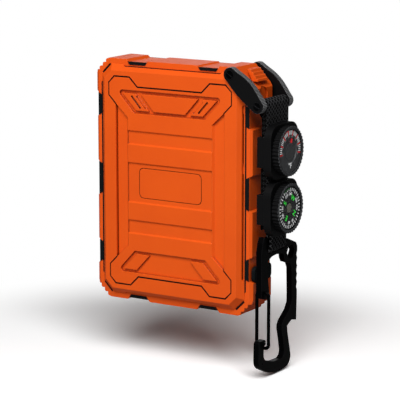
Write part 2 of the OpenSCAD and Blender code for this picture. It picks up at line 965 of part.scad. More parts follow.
// Cuts in the frame's left wall for the ports, the button, the lights and the torch
module port_cuts() {
    // shallow bay that the cover lies in, and the hole behind it
    block(
        [-cx - 1, -door_w / 2 - fit, door_z - fit],
        [bay_x, hinge_y, door_z + door_h + fit]);
    block(
        [-cx - 1, -door_w / 2 + port_lip, door_z + port_lip],
        [-inner_x + 1, door_w / 2 - port_lip, door_z + door_h - port_lip]);
    // room for the hinge barrel, open to the outside
    translate([hinge_x, hinge_y, door_z - fit]) {
        cylinder(r = barrel_r + fit, h = door_h + 2 * fit);
        block([-case_w, 0, 0], [0, barrel_r + fit, door_h + 2 * fit]);
    }
    translate([hinge_x, hinge_y, door_z - pin_tail])
        cylinder(r = hinge_pin_r + 0.01, h = door_h + 2 * pin_tail);
    rod_x(-cx - 1, -inner_x + 1, button_r + fit, 0, button_z);
    for (i = [0:3])
        rod_x(-cx - 1, -inner_x + 1, 0.95, -9, button_z - 2.8 + 2.6 * i);
    rod_x(-cx - 1, -inner_x + 1, torch_r + 0.05, 0, torch_z);
}

module port_cover() {
    color(rubber)
        difference() {
            union() {
                block(
                    [door_x, -door_w / 2, door_z],
                    [door_x + door_t, hinge_y, door_z + door_h]);
                translate([hinge_x, hinge_y, door_z])
                    cylinder(r = barrel_r, h = door_h);
                // finger lip and two long ribs
                block(
                    [door_x - 0.5, -door_w / 2, door_z + door_h / 2 - 6],
                    [door_x, -door_w / 2 + 2, door_z + door_h / 2 + 6]);
                for (y = [-2.5, 2.5])
                    block(
                        [door_x - 0.35, y - 0.6, door_z + 6],
                        [door_x, y + 0.6, door_z + door_h - 6]);
            }
            translate([hinge_x, hinge_y, door_z - 1])
                cylinder(r = hinge_pin_r + run, h = door_h + 2);
        }
}

module cover_pin() {
    color(steel)
        translate([hinge_x, hinge_y, door_z - pin_tail + 0.1])
            cylinder(r = hinge_pin_r, h = door_h + 2 * pin_tail - 0.2);
}

module power_button() {
    color(black)
        difference() {
            union() {
                rod_x(-cx - 0.4, -cx + 4, button_r, 0, button_z);
                rod_x(-cx + 4, -inner_x + 0.9 - button_travel - 0.1, 2, 0, button_z);
            }
            // generic power mark
            difference() {
                rod_x(-cx - 1, -cx, 2.6, 0, button_z);
                rod_x(-cx - 2, -cx + 1, 2, 0, button_z);
                block([-cx - 2, -0.9, button_z], [-cx + 1, 0.9, button_z + 4]);
            }
            block([-cx - 1, -0.3, button_z + 0.6], [-cx, 0.3, button_z + 3.2]);
        }
}

// ---------- bail ----------

module bail_plate(y0) {
    difference() {
        slab(y0, y0 + bail_t)
            polygon(bail_outline());
        rod_y(y0 - 1, y0 + bail_t + 1, pivot_r, piv[0], piv[1]);
        rod_y(y0 - 1, y0 + bail_t + 1, bar_r, bar[0], bar[1]);
        outer = y0 < 0 ? y0 : y0 + bail_t;
        for (p = [piv, bar])
            rod_y(outer - 1, outer + 1, 2.75, p[0], p[1]);
    }
}

module bail_plate_front() {
    color(black)
        bail_plate(-plate_in - bail_t);
}

module bail_plate_rear() {
    color(black)
        bail_plate(plate_in);
}

module pivot_pin() {
    color(steel)
        rod_y(-plate_in - bail_t + 1, plate_in + bail_t - 1, pivot_r, piv[0], piv[1]);
}

module strap_bar() {
    color(steel)
        rod_y(-plate_in - bail_t + 1, plate_in + bail_t - 1, bar_r, bar[0], bar[1]);
}

module bail_screws() {
    color([0.2, 0.2, 0.2])
        for (p = [piv, bar], s = [0, 1])
            mirror([0, s, 0])
                difference() {
                    rod_y(-plate_in - bail_t - 0.3, -plate_in - bail_t + 1, 2.7, p[0], p[1]);
                    translate([p[0], -plate_in - bail_t - 0.3, p[1]])
                        rotate([0, 30, 0])
                            block([-2.2, -0.1, -0.35], [2.2, 0.5, 0.35]);
                }
}

// ---------- strap ----------

web_r = bar_r + fit;
stack_c = web_out - web_t - layer_gap / 2;

// Outer or inner edge of the webbing loop, as a closed outline in (x, z):
// over the strap bar, down as a stack, and apart again round the carabiner's bar
function web_edge(g) =
    let (
        rl = top_r + fit,
        merge = 9)
    concat(
        arc(bar, web_r + g, 0, 180, 12),
        [
            [bar[0] - web_r - g, bar[1] - 1],
            [stack_c - layer_gap / 2 - g, bar[1] - merge],
            [stack_c - layer_gap / 2 - g, clip_z + merge + 1],
            [clip_c - rl - g, clip_z + 1.5]],
        arc([clip_c, clip_z], rl + g, 180, 360, 12),
        [
            [clip_c + rl + g, clip_z + 1.5],
            [stack_c + layer_gap / 2 + g, clip_z + merge + 1]]);

module web_section() {
    difference() {
        polygon(web_edge(web_t));
        polygon(web_edge(0));
    }
}

module webbing() {
    color(black)
        intersection() {
            slab(-web_w / 2, web_w / 2)
                web_section();
            // full width down to the second gauge, then tapered to the carabiner
            translate([clip_x0 - 30, 0, 0])
                side_slab(0, 60)
                    polygon([
                        [-web_w / 2, case_h + 20], [web_w / 2, case_h + 20],
                        [web_w / 2, compass_z], [clip_mid + web_low_w / 2, compass_z - 14],
                        [clip_mid + web_low_w / 2, clip_z - 20],
                        [clip_mid - web_low_w / 2, clip_z - 20],
                        [clip_mid - web_low_w / 2, compass_z - 14], [-web_w / 2, compass_z]]);
        }
}

clip_mid = clip_y + 8.2 + web_low_w / 2 + 0.4;

module webbing_tail() {
    color([0.14, 0.15, 0.16])
        block(
            [tail_x, -web_w / 2 + 1, compass_z - holder_w / 2 + 4],
            [tail_x + tail_t, web_w / 2 - 1, gauge_z + ear_h / 2 - 1]);
}

// ---------- gauges ----------

module gauge_holder(z) {
    difference() {
        union() {
            side_slab(holder_x, seat_x)
                translate([0, z])
                    polygon(round_rect(holder_w, holder_w, 9, 8));
            for (s = [-1, 1])
                block(
                    [tail_x - ear_t - 0.1, s * (web_w / 2 + 0.7) - 0.6, z - ear_h / 2],
                    [holder_x + 0.5, s * (web_w / 2 + 0.7) + 0.6, z + ear_h / 2]);
            block(
                [tail_x - ear_t - 0.1, -web_w / 2 - 0.6, z - ear_h / 2],
                [tail_x - 0.1, web_w / 2 + 0.6, z + ear_h / 2]);
        }
        rod_x(holder_x + 1.4, seat_x + 1, dial_r + 0.1, 0, z);
    }
}

// Ring with ridges round its rim, from two radii in turn
lip_t = 0.4;
lens_t = 0.3;
module gauge_ring(z) {
    difference() {
        side_slab(seat_x, ring_x)
            translate([0, z])
                polygon([for (i = [0:4 * ridges - 1])
                    (i % 4 < 2 ? ring_r : ring_r - 0.5)
                    * [cos(90 * i / ridges), sin(90 * i / ridges)]]);
        rod_x(seat_x - 1, ring_x - lip_t, dial_r + 0.1, 0, z);
        // a bevelled lip holds the lens
        translate([ring_x - lip_t - 0.01, 0, z])
            rotate([0, 90, 0])
                cylinder(r1 = dial_r - 0.6, r2 = dial_r - 0.2, h = lip_t + 0.02);
    }
}

// Clear lens: a disc under the ring's lip with a shallow dome inside the lip
module gauge_lens(z) {
    r0 = dial_r - 0.7;
    big = (r0 * r0 + dome_h * dome_h) / (2 * dome_h);
    half = asin(r0 / big);
    translate([ring_x - lip_t, 0, z])
        rotate([0, 90, 0])
            rotate_extrude()
                polygon(concat(
                    [[0, -lens_t], [dial_r + run, -lens_t], [dial_r + run, 0]],
                    [for (i = [0:8])
                        let (a = half * (1 - i / 8))
                        [big * sin(a), big * cos(a) - (big - dome_h)]]));
}

module thermometer_holder() {
    color(black)
        gauge_holder(gauge_z);
}

module thermometer_ring() {
    color(black)
        gauge_ring(gauge_z);
}

module thermometer_dial() {
    color([0.2, 0.21, 0.21])
        difference() {
            rod_x(face_at - 0.6, face_at, dial_r, 0, gauge_z);
            rod_x(face_at - 2, face_at + 1, 0.6, 0, gauge_z);
        }
}

// Bimetal spiral that turns the pointer
module thermometer_coil() {
    color([0.75, 0.6, 0.35])
        side_slab(face_at - 4, face_at - 0.9)
            translate([0, gauge_z])
                polygon(concat(
                    [for (i = [0:72])
                        (3 + 2.2 * i / 24) * [cos(15 * i), sin(15 * i)]],
                    [for (i = [72:-1:0])
                        (3.5 + 2.2 * i / 24) * [cos(15 * i), sin(15 * i)]]));
}

module thermometer_lens() {
    color([0.9, 0.92, 0.95, 0.25])
        gauge_lens(gauge_z);
}

module thermometer_pointer() {
    color([0.25, 0.26, 0.26]) {
        rod_x(face_at - 4, face_at + fit, 0.5, 0, gauge_z);
        rod_x(face_at + fit, face_at + 2 * fit, 5.3, 0, gauge_z);
        side_slab(face_at + fit, face_at + 2 * fit)
            translate([0, gauge_z])
                rotate(-19)
                    polygon([[-0.9, 4.6], [0.9, 4.6], [0.7, 8], [-0.7, 8]]);
    }
}

module compass_holder() {
    color(black)
        gauge_holder(compass_z);
}

module compass_ring() {
    color(black)
        gauge_ring(compass_z);
}

// Round cup that holds the card and its pivot
module compass_capsule() {
    color([0.1, 0.1, 0.1])
        difference() {
            rod_x(holder_x + 1.4, face_at + 0.3, dial_r, 0, compass_z);
            rod_x(holder_x + 2.2, face_at + 1, dial_r - 0.8, 0, compass_z);
        }
}

module compass_pivot() {
    color(steel)
        rod_x(holder_x + 2.2, face_at - 0.45, 0.5, 0, compass_z);
}

module compass_lens() {
    color([0.9, 0.92, 0.95, 0.25])
        gauge_lens(compass_z);
}

module compass_card() {
    color([0.12, 0.12, 0.12])
        difference() {
            union() {
                rod_x(face_at - 0.7, face_at - 0.1, dial_r - 1.2, 0, compass_z);
                rod_x(face_at - 0.1, face_at + 0.4, 3.2, 0, compass_z);
                rod_x(face_at - 1.7, face_at - 0.7, 1.4, 0, compass_z);
            }
            rod_x(face_at - 3, face_at - 0.3, 0.55, 0, compass_z);
        }
}

// ---------- carabiner ----------

// Outline of the carabiner's plate in (y, z), measured from the near edge of
// the front bar and the middle of the top bar
module clip_outline() {
    difference() {
        polygon(concat(
            [[0, -1.8], [1.6, 4], [3.4, 7], [5, 7], [7.6, 2.1], [8.4, top_bar / 2],
             [32.5, top_bar / 2], [43.8, -3], [45.5, -5.8], [45.5, -9]],
            [for (k = [0:4], i = [1:5])
                [45.5 - 0.9 * sin(36 * i), -9 - 5.3 * k - 5.3 * i / 6]],
            [[45.5, -37], [44.9, -54.6], [38.7, -53.4], [33, -56.2], [33.7, -60.7]],
            arc([31.2, -76.6], 6.6, 12, -80, 7),
            [[25, -83.8], [17, -83.4], [10.8, -82.2]],
            arc([4, -71.6], 6.9, -110, -180, 5),
            [[-2.6, -62]],
            arc([-0.9, -61], 1.7, 180, 90, 3),
            [[4.8, -59.2], [5.8, -60.1], [5.9, -62.3], [3.5, -63.4], [3.3, -66]],
            arc([8.3, -68.6], 5, 180, 262, 5),
            [[16.2, -75.9]],
            arc([25, -71.8], 4.6, -92, 4, 5),
            [[28.1, -64.4], [26.2, -57.5], [26.1, -54.6], [27.9, -51.8], [35.8, -46.2],
             [38.9, -41.7], [39, -36], [38.4, -19],
             [36.6, -15.6], [33.4, -14.4], [30.6, -13.6], [28.6, -10.6], [28, -7.4],
             [24, -6.9], [18.5, -6.3], [13, -6.7], [8.2, -8.8],
             [8.2, -19.6], [10, -30.4], [10, -33], [4.4, -33], [0, -31.4]]));
        // slot for the webbing
        translate([clip_mid - clip_y - web_low_w / 2 - 0.4, -top_bar / 2 - slot_h])
            square([web_low_w + 0.8, slot_h]);
        // hex wrench hole and lanyard hole
        translate([37, -8])
            circle(r = hex_r, $fn = 6);
        translate([1.5, -74.2])
            circle(r = 0.7);
    }
}

module carabiner_frame() {
    color(black)
        difference() {
            side_slab(clip_x0, clip_x1)
                translate([clip_y, clip_z])
                    clip_outline();
            // blind holes for the two ends of the gate's wire
            for (s = [-1, 1])
                rod_x(
                    clip_c + s * (clip_t / 2) - 1.3, clip_c + s * (clip_t / 2) + 1.3,
                    wire_r + run, gate_y, gate_z);
            // the bar in the webbing's loop is rounded
            difference() {
                block(
                    [clip_x0 - 1, clip_mid - web_low_w / 2 - 0.4, clip_z - top_bar / 2 - 0.1],
                    [clip_x1 + 1, clip_mid + web_low_w / 2 + 0.4, clip_z + top_bar]);
                rod_y(-cy, cy, top_r, clip_c, clip_z);
            }
        }
}

// Sprung wire gate: two legs, a cross bar under the nose and two inward ends
module wire_gate() {
    bend = wire_out - clip_t / 2;
    foot = gate_z - gate_len;
    color([0.12, 0.12, 0.12])
        for (s = [0, 1])
            translate([clip_c, gate_y, 0])
                mirror([s, 0, 0]) {
                    translate([wire_out, 0, foot + bend])
                        cylinder(r = wire_r, h = gate_len - 2 * bend);
                    rod_x(0, wire_out - bend, wire_r, 0, foot);
                    rod_x(clip_t / 2 - 1.2, wire_out - bend, wire_r, 0, gate_z);
                    translate([wire_out - bend, 0, foot + bend])
                        rotate([90, 0, 0])
                            rotate([0, 0, -90])
                                rotate_extrude(angle = 90)
                                    translate([bend, 0])
                                        circle(r = wire_r);
                    translate([wire_out - bend, 0, gate_z - bend])
                        rotate([90, 0, 0])
                            rotate_extrude(angle = 90)
                                translate([bend, 0])
                                    circle(r = wire_r);
                }
}

front_cover();
front_plate();
badge();
mid_frame();
rear_cover();
front_gasket();
rear_gasket();
front_inlays();
rear_inlays();
corner_bumpers();
corner_strips();
corner_grip();
side_pad();
case_screws();
battery_cells();
cell_tray();
cell_tabs();
control_board();
power_parts();
jump_socket();
socket_contacts();
usb_a_socket();
usb_c_socket();
button_switch();
status_lights();
torch_lens();
torch_reflector();
torch_led();
power_button();
port_cover();
cover_pin();
bail_plate_front();
bail_plate_rear();
pivot_pin();
strap_bar();
bail_screws();
webbing();
webbing_tail();
thermometer_holder();
thermometer_ring();
thermometer_dial();
thermometer_coil();
thermometer_lens();
thermometer_pointer();
compass_holder();
compass_ring();
compass_capsule();
compass_pivot();
compass_lens();
compass_card();
carabiner_frame();
wire_gate();
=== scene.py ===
import json
import math

import bmesh
import bpy
from mathutils import Matrix, Vector


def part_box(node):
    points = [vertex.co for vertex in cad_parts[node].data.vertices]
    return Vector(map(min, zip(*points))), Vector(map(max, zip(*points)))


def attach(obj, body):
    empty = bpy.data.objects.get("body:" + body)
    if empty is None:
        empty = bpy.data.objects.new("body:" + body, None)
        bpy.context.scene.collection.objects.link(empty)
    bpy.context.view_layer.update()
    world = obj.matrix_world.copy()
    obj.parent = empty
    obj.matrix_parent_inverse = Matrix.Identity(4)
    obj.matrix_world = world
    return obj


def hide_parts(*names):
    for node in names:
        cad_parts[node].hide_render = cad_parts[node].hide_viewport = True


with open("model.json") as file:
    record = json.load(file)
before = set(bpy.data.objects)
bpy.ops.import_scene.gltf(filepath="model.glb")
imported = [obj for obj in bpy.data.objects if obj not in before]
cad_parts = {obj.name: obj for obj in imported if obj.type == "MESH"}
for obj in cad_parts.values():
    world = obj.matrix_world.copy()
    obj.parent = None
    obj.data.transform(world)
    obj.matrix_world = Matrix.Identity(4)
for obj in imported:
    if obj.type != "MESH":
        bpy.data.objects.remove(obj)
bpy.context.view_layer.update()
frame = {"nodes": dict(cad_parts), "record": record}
cadNodes = frame["nodes"]
scene = bpy.context.scene
mm = 0.001


def linear(red, green, blue):
    # screen colour, 0 to 255, as the shader wants it
    def channel(v):
        v = v / 255
        return v / 12.92 if v <= 0.04045 else ((v + 0.055) / 1.055) ** 2.4
    return (channel(red), channel(green), channel(blue), 1)


class Wire:
    # one output socket; the usual operators add Math nodes behind it
    def __init__(self, graph, socket):
        self.graph = graph
        self.socket = socket

    def math(self, operation, other=None, flipped=False):
        pair = [other, self] if flipped else [self, other]
        sockets = {i: v for i, v in enumerate(pair) if v is not None}
        return self.graph.add("ShaderNodeMath", {"operation": operation}, sockets)

    def __add__(self, other):
        return self.math("ADD", other)

    def __radd__(self, other):
        return self.math("ADD", other, True)

    def __sub__(self, other):
        return self.math("SUBTRACT", other)

    def __rsub__(self, other):
        return self.math("SUBTRACT", other, True)

    def __mul__(self, other):
        return self.math("MULTIPLY", other)

    def __truediv__(self, other):
        return self.math("DIVIDE", other)

    def __pow__(self, other):
        return self.math("POWER", other)

    def __lt__(self, other):
        return self.math("LESS_THAN", other)

    def __mod__(self, other):
        return self.math("FLOORED_MODULO", other)

    def __abs__(self):
        return self.math("ABSOLUTE")

    def sin(self):
        return self.math("SINE")

    def cos(self):
        return self.math("COSINE")

    def top(self, other):
        return self.math("MAXIMUM", other)

    def clamp(self, low=0, high=1):
        return self.math("MAXIMUM", low).math("MINIMUM", high)

    def smooth(self, low, high):
        return self.graph.add("ShaderNodeMapRange", {"interpolation_type": "SMOOTHSTEP"},
                              {"Value": self, "From Min": low, "From Max": high})


class Graph:
    # a shader or geometry tree, filled by one method
    def __init__(self, tree):
        self.tree = tree

    def make(self, kind, settings=None, sockets=None):
        node = self.tree.nodes.new(kind)
        for name, value in (settings or {}).items():
            setattr(node, name, value)
        for name, value in (sockets or {}).items():
            if isinstance(value, Wire):
                self.tree.links.new(value.socket, node.inputs[name])
            else:
                node.inputs[name].default_value = value
        return node

    def add(self, kind, settings=None, sockets=None, output=0):
        node = self.make(kind, settings, sockets)
        return Wire(self, node.outputs[output])


def newMaterial(name):
    material = bpy.data.materials.new(name)
    material.use_nodes = True
    material.node_tree.nodes.clear()
    return material, Graph(material.node_tree)


def finishMaterial(graph, values):
    shader = graph.add("ShaderNodeBsdfPrincipled", None, values)
    graph.make("ShaderNodeOutputMaterial", None, {"Surface": shader})


def objectPlace(graph):
    return graph.add("ShaderNodeTexCoord", None, None, "Object")


def axisOf(graph, vector, axis):
    return graph.add("ShaderNodeSeparateXYZ", None, {0: vector}, axis)


def reachFrom(graph, centre):
    # distance from a line along X through the centre
    place = graph.add("ShaderNodeMapping", None, {
        "Vector": objectPlace(graph), "Location": tuple(-v for v in centre)})
    flat = graph.add("ShaderNodeVectorMath", {"operation": "MULTIPLY"}, {0: place, 1: (0, 1, 1)})
    return graph.add("ShaderNodeVectorMath", {"operation": "LENGTH"}, {0: flat}, "Value")


def noise(graph, place, scale, detail):
    return graph.add("ShaderNodeTexNoise", None, {"Vector": place, "Scale": scale, "Detail": detail})


def softEdge(graph, radius):
    # rounded normals and a mask that is 1 on the edges
    rounded = graph.add("ShaderNodeBevel", {"samples": 6}, {"Radius": radius})
    flat = graph.add("ShaderNodeNewGeometry", None, None, "Normal")
    same = graph.add("ShaderNodeVectorMath", {"operation": "DOT_PRODUCT"}, {0: rounded, 1: flat}, "Value")
    return rounded, ((1 - same) * 5).clamp()


def bump(graph, height, distance, normal=None):
    sockets = {"Height": height, "Distance": distance, "Strength": 1.0}
    if normal:
        sockets["Normal"] = normal
    return graph.add("ShaderNodeBump", None, sockets)


def mixColour(graph, factor, first, second):
    return graph.add("ShaderNodeMix", {"data_type": "RGBA"}, {"Factor": factor, "A": first, "B": second}, 2)


# finishes, one dictionary each
# the shell's edge colour is a painted highlight; its crease and seam colours are painted shade
shell = {
    "colour": linear(231, 88, 18), "edge": linear(240, 106, 40), "shade": linear(223, 81, 14),
    "creaseShade": linear(84, 24, 5), "seamShade": linear(168, 56, 14), "seamDepth": (-15.8 * mm, -14.8 * mm),
    "creaseReach": 1.9 * mm, "creaseGain": 2.0, "creaseStart": 0.35,
    "roughness": 0.42, "gloss": 0.2, "cloud": 38, "grain": 2600, "grainDepth": 0.012 * mm,
    "edgeRadius": 0.45 * mm,
}


def shellPlastic(name, settings):
    # moulded plastic with a fine grain, a painted highlight on its edges and painted shade in its creases
    material, graph = newMaterial(name)
    place = objectPlace(graph)
    rounded, edge = softEdge(graph, settings["edgeRadius"])
    cloud = noise(graph, place, settings["cloud"], 4).smooth(0.35, 0.7)
    grain = noise(graph, place, settings["grain"], 2)
    colour = mixColour(graph, cloud * 0.5, settings["colour"], settings["shade"])
    # painted highlight: the edges are mixed towards the paler edge colour
    colour = mixColour(graph, edge * 0.55, colour, settings["edge"])
    # painted shade: creases found by ambient occlusion are darkened, less so beyond the seam depth along Y
    exposed = graph.add("ShaderNodeAmbientOcclusion", {"samples": 8},
                        {"Distance": settings["creaseReach"]}, "AO")
    deep = axisOf(graph, place, 1).smooth(*settings["seamDepth"])
    creaseShade = mixColour(graph, deep, settings["creaseShade"], settings["seamShade"])
    creaseShadeMask = ((1 - exposed) * settings["creaseGain"] - settings["creaseStart"]).clamp()
    colour = mixColour(graph, creaseShadeMask, colour, creaseShade)
    rough = settings["roughness"] + (grain - 0.5) * 0.1 + (cloud - 0.5) * 0.05 - edge * 0.05
    normal = bump(graph, grain, settings["grainDepth"], rounded)
    finishMaterial(graph, {
        "Base Color": colour, "Roughness": rough, "Normal": normal, "Specular IOR Level": settings["gloss"]})
    return material


# the edge colours of these black finishes are partly wear and partly painted highlight
nylon = {
    "colour": linear(9, 9, 10), "edge": linear(46, 46, 47), "roughness": 0.5,
    "grain": 3200, "grainDepth": 0.015 * mm, "edgeRadius": 0.35 * mm, "gloss": 0.1,
}
rubber = {
    "colour": linear(9, 15, 17), "edge": linear(28, 36, 40), "roughness": 0.66,
    "grain": 2400, "grainDepth": 0.02 * mm, "edgeRadius": 0.25 * mm, "gloss": 0.1,
}
coating = {
    "colour": linear(3, 3, 4), "edge": linear(62, 62, 64), "roughness": 0.36,
    "grain": 4200, "grainDepth": 0.008 * mm, "edgeRadius": 0.3 * mm, "gloss": 0.03,
}


def blackPlastic(name, settings, metallic=0.0, lip=None):
    # black moulding or coating, greyer on its edges, partly wear and partly painted highlight; lip is where
    # the lip's own colour begins along X
    material, graph = newMaterial(name)
    place = objectPlace(graph)
    rounded, edge = softEdge(graph, settings["edgeRadius"])
    cloud = noise(graph, place, 60, 4).smooth(0.3, 0.75)
    grain = noise(graph, place, settings["grain"], 2)
    # edges mottled towards grey: wear and painted highlight
    edgeWearAndHighlight = (edge * (0.45 + cloud * 0.55)).clamp()
    colour = mixColour(graph, edgeWearAndHighlight * 0.7, settings["colour"], settings["edge"])
    if lip:
        front = axisOf(graph, place, 0).smooth(lip - 0.06 * mm, lip)
        colour = mixColour(graph, front, colour, settings["lip"])
    rough = settings["roughness"] + (grain - 0.5) * 0.12 + cloud * 0.05
    finishMaterial(graph, {
        "Base Color": colour, "Roughness": rough, "Metallic": metallic,
        "Normal": bump(graph, grain, settings["grainDepth"], rounded),
        "Specular IOR Level": settings["gloss"]})
    return material


plainSteel = {"colour": linear(150, 151, 154), "roughness": 0.3, "metallic": 1.0, "lines": 900}
plated = {"colour": linear(222, 178, 96), "roughness": 0.28, "metallic": 1.0, "lines": 700}
foil = {"colour": linear(176, 180, 186), "roughness": 0.38, "metallic": 0.8, "lines": 260}
reflector = dict(plainSteel, colour=linear(210, 210, 214), roughness=0.1)
drawn = {"shade": linear(96, 97, 100), "stretch": 0.05, "depth": 0.004 * mm, "edgeRadius": 0.15 * mm}


def brushedMetal(name, settings):
    # fine drawn lines along Y
    material, graph = newMaterial(name)
    place = graph.add("ShaderNodeMapping", None, {
        "Vector": objectPlace(graph), "Scale": (1, drawn["stretch"], 1)})
    lines = noise(graph, place, settings["lines"], 3)
    rounded, edge = softEdge(graph, drawn["edgeRadius"])
    colour = mixColour(graph, lines * 0.3, settings["colour"], drawn["shade"])
    rough = settings["roughness"] + (lines - 0.5) * 0.2 - edge * 0.05
    finishMaterial(graph, {
        "Base Color": colour, "Roughness": rough, "Metallic": settings["metallic"],
        "Normal": bump(graph, lines, drawn["depth"], rounded)})
    return material


board = {"mask": linear(12, 58, 32), "track": linear(24, 92, 52), "scale": 320, "depth": 0.02 * mm}


def solderMask(name, settings):
    # green board with faint tracks
    material, graph = newMaterial(name)
    place = objectPlace(graph)
    tracks = graph.add("ShaderNodeTexVoronoi", {"feature": "DISTANCE_TO_EDGE", "distance": "CHEBYCHEV"},
                       {"Vector": place, "Scale": settings["scale"]}).smooth(0.05, 0.09)
    colour = mixColour(graph, tracks, settings["track"], settings["mask"])
    finishMaterial(graph, {"Base Color": colour, "Roughness": 0.35 + tracks * 0.1,
                           "Normal": bump(graph, tracks, settings["depth"])})
    return material


# the edge colour of small mouldings is a painted highlight
smallMoulding = {"edge": linear(120, 120, 120), "edgeRadius": 0.15 * mm, "grain": 900, "depth": 0.006 * mm}


def plainGloss(name, colour, roughness):
    # small moulded piece, paler on its edges as a painted highlight
    material, graph = newMaterial(name)
    speck = noise(graph, objectPlace(graph), smallMoulding["grain"], 2)
    rounded, edge = softEdge(graph, smallMoulding["edgeRadius"])
    # painted highlight on the edges
    tint = mixColour(graph, edge * 0.4, colour, smallMoulding["edge"])
    finishMaterial(graph, {"Base Color": tint, "Roughness": roughness + (speck - 0.5) * 0.1,
                           "Normal": bump(graph, speck, smallMoulding["depth"], rounded)})
    return material


acrylic = {"tint": linear(60, 62, 64), "roughness": 0.03, "bend": 1.5, "cover": 0.1, "smears": 160}


def clearDome(name, settings):
    # clear acrylic with faint handling marks
    material, graph = newMaterial(name)
    smear = noise(graph, objectPlace(graph), settings["smears"], 3).smooth(0.45, 0.8)
    finishMaterial(graph, {
        "Base Color": settings["tint"], "Roughness": settings["roughness"] + smear * 0.05,
        "IOR": settings["bend"], "Alpha": settings["cover"] + smear * 0.03})
    return material


# the thread colour is partly a painted highlight on the floats
weave = {
    "across": 3.5 * mm, "along": 3.16 * mm, "thread": linear(74, 74, 76), "gap": linear(0, 0, 0),
    "roughness": 0.72, "depth": 0.32 * mm, "pit": 0.13, "edgeShadeWidth": 0.9 * mm, "edgeShade": 0.85,
    "gloss": 0.04, "sheen": 0.01,
}


def wovenNylon(name, settings, edges):
    # diamond weave: two families of slanting floats, paler as a painted highlight, with dark holes between
    # them, and painted shade darker towards the band's edges
    material, graph = newMaterial(name)
    uv = graph.add("ShaderNodeUVMap", {"uv_map": "weave"})
    width = axisOf(graph, uv, 0)
    inset = abs(width - (edges[0] + edges[1]) / 2) - (edges[1] - edges[0]) / 2
    # painted shade: the band darkens towards its edges
    middle = 1 - inset.smooth(-settings["edgeShadeWidth"], -0.3 * settings["edgeShadeWidth"]) * settings["edgeShade"]
    across = width * (math.pi / settings["across"])
    along = axisOf(graph, uv, 1) * (math.pi / settings["along"])
    first = abs((across + along).sin())
    second = abs((across - along).sin())
    ridge = 1 - (1 - first.top(second)).smooth(0.0, settings["pit"])
    strands = ((across + along) * 8).sin() * 0.5 + 0.5
    fuzz = noise(graph, objectPlace(graph), 5200, 3)
    # painted highlight: the floats take the paler thread colour
    tone = (ridge.smooth(0.25, 0.9) * (0.75 + strands * 0.25) + (fuzz - 0.5) * 0.25).clamp() * middle
    colour = mixColour(graph, tone, settings["gap"], settings["thread"])
    height = ridge * 0.8 + strands * 0.12 + fuzz * 0.12
    finishMaterial(graph, {
        "Base Color": colour, "Roughness": settings["roughness"] + (fuzz - 0.5) * 0.2,
        "Normal": bump(graph, height, settings["depth"]), "Specular IOR Level": settings["gloss"],
        "Sheen Weight": settings["sheen"], "Sheen Roughness": 0.5})
    return material


def plainPaint(name, colour, roughness=0.5, glow=0.0):
    # printed ink or thread; the glow is painted light that keeps small print clear under the lens
    material, graph = newMaterial(name)
    speck = noise(graph, objectPlace(graph), 2600, 2)
    tint = mixColour(graph, speck * 0.25, colour, tuple(0.75 * v for v in colour[:3]) + (1,))
    finishMaterial(graph, {"Base Color": tint, "Roughness": roughness + (speck - 0.5) * 0.1,
                           "Emission Color": colour, "Emission Strength": glow})
    return material


def dialFace(name, settings, centre):
    # matt printed face whose tone changes towards its rim
    material, graph = newMaterial(name)
    reach = reachFrom(graph, centre) / (settings["faceRadius"] * mm)
    speck = noise(graph, objectPlace(graph), 1800, 2)
    colour = mixColour(graph, (reach ** 2).clamp(), settings["bodyColour"], settings["rimColour"])
    finishMaterial(graph, {"Base Color": colour, "Roughness": 0.45 + (speck - 0.5) * 0.15,
                           "Normal": bump(graph, speck, 0.004 * mm)})
    return material


finishes = {
    "orange": shellPlastic("shellOrange", shell),
    "black": blackPlastic("nylonBlack", nylon),
    "rubber": blackPlastic("rubberBlack", rubber),
    "dark_metal": blackPlastic("coatedSteel", coating, 0.1),
    "steel": brushedMetal("plainSteel", plainSteel),
    "gold": brushedMetal("platedContact", plated),
    "cells": brushedMetal("pouchFoil", foil),
    "board": solderMask("solderMask", board),
    "parts": plainGloss("partBody", linear(30, 30, 32), 0.4),
    "blue": plainGloss("socketBlue", linear(22, 50, 140), 0.3),
    "glass": clearDome("clearDome", acrylic),
    "mirror": brushedMetal("reflectorMetal", reflector),
    "led": plainGloss("ledPhosphor", linear(236, 222, 120), 0.4),
}
finishes["badge"] = finishes["orange"]
slotOf = {part["node"]: part["material_slot"] for part in frame["record"]["subparts"]}


def boxOf(name):
    low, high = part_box(name)
    return Vector(low), Vector(high)


def middleOf(name):
    low, high = boxOf(name)
    return (low + high) / 2


def dress(name, material):
    mesh = cadNodes[name].data
    mesh.materials.clear()
    mesh.materials.append(material)


for node in cadNodes:
    if slotOf[node] in finishes:
        dress(node, finishes[slotOf[node]])
ringLook = dict(nylon, lip=linear(66, 67, 69), lipDepth=0.42 * mm)
gaugeRim = blackPlastic("gaugeRim", ringLook, 0.0, boxOf("compass_ring")[1].x - ringLook["lipDepth"])
for node in ("compass_ring", "thermometer_ring"):
    dress(node, gaugeRim)
print("finishes on", len(cadNodes), "nodes")


def addPiece(name, mesh, body, material):
    piece = bpy.data.objects.new(name, mesh)
    scene.collection.objects.link(piece)
    mesh.materials.clear()
    mesh.materials.append(material)
    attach(piece, body)
    return piece


def closePiece(name, work, body, material):
    # keeps a finished bmesh as a piece, its normals outward
    bmesh.ops.recalc_face_normals(work, faces=work.faces)
    mesh = bpy.data.meshes.new(name)
    work.to_mesh(mesh)
    work.free()
    return addPiece(name, mesh, body, material)


def bridge(work, first, second):
    # quads between two closed rings of as many points
    faces = []
    for k in range(len(first)):
        n = (k + 1) % len(first)
        faces.append(work.faces.new((first[k], first[n], second[n], second[k])))
    return faces


def plainMesh(source):
    depsgraph = bpy.context.evaluated_depsgraph_get()
    return bpy.data.meshes.new_from_object(source.evaluated_get(depsgraph), depsgraph=depsgraph)


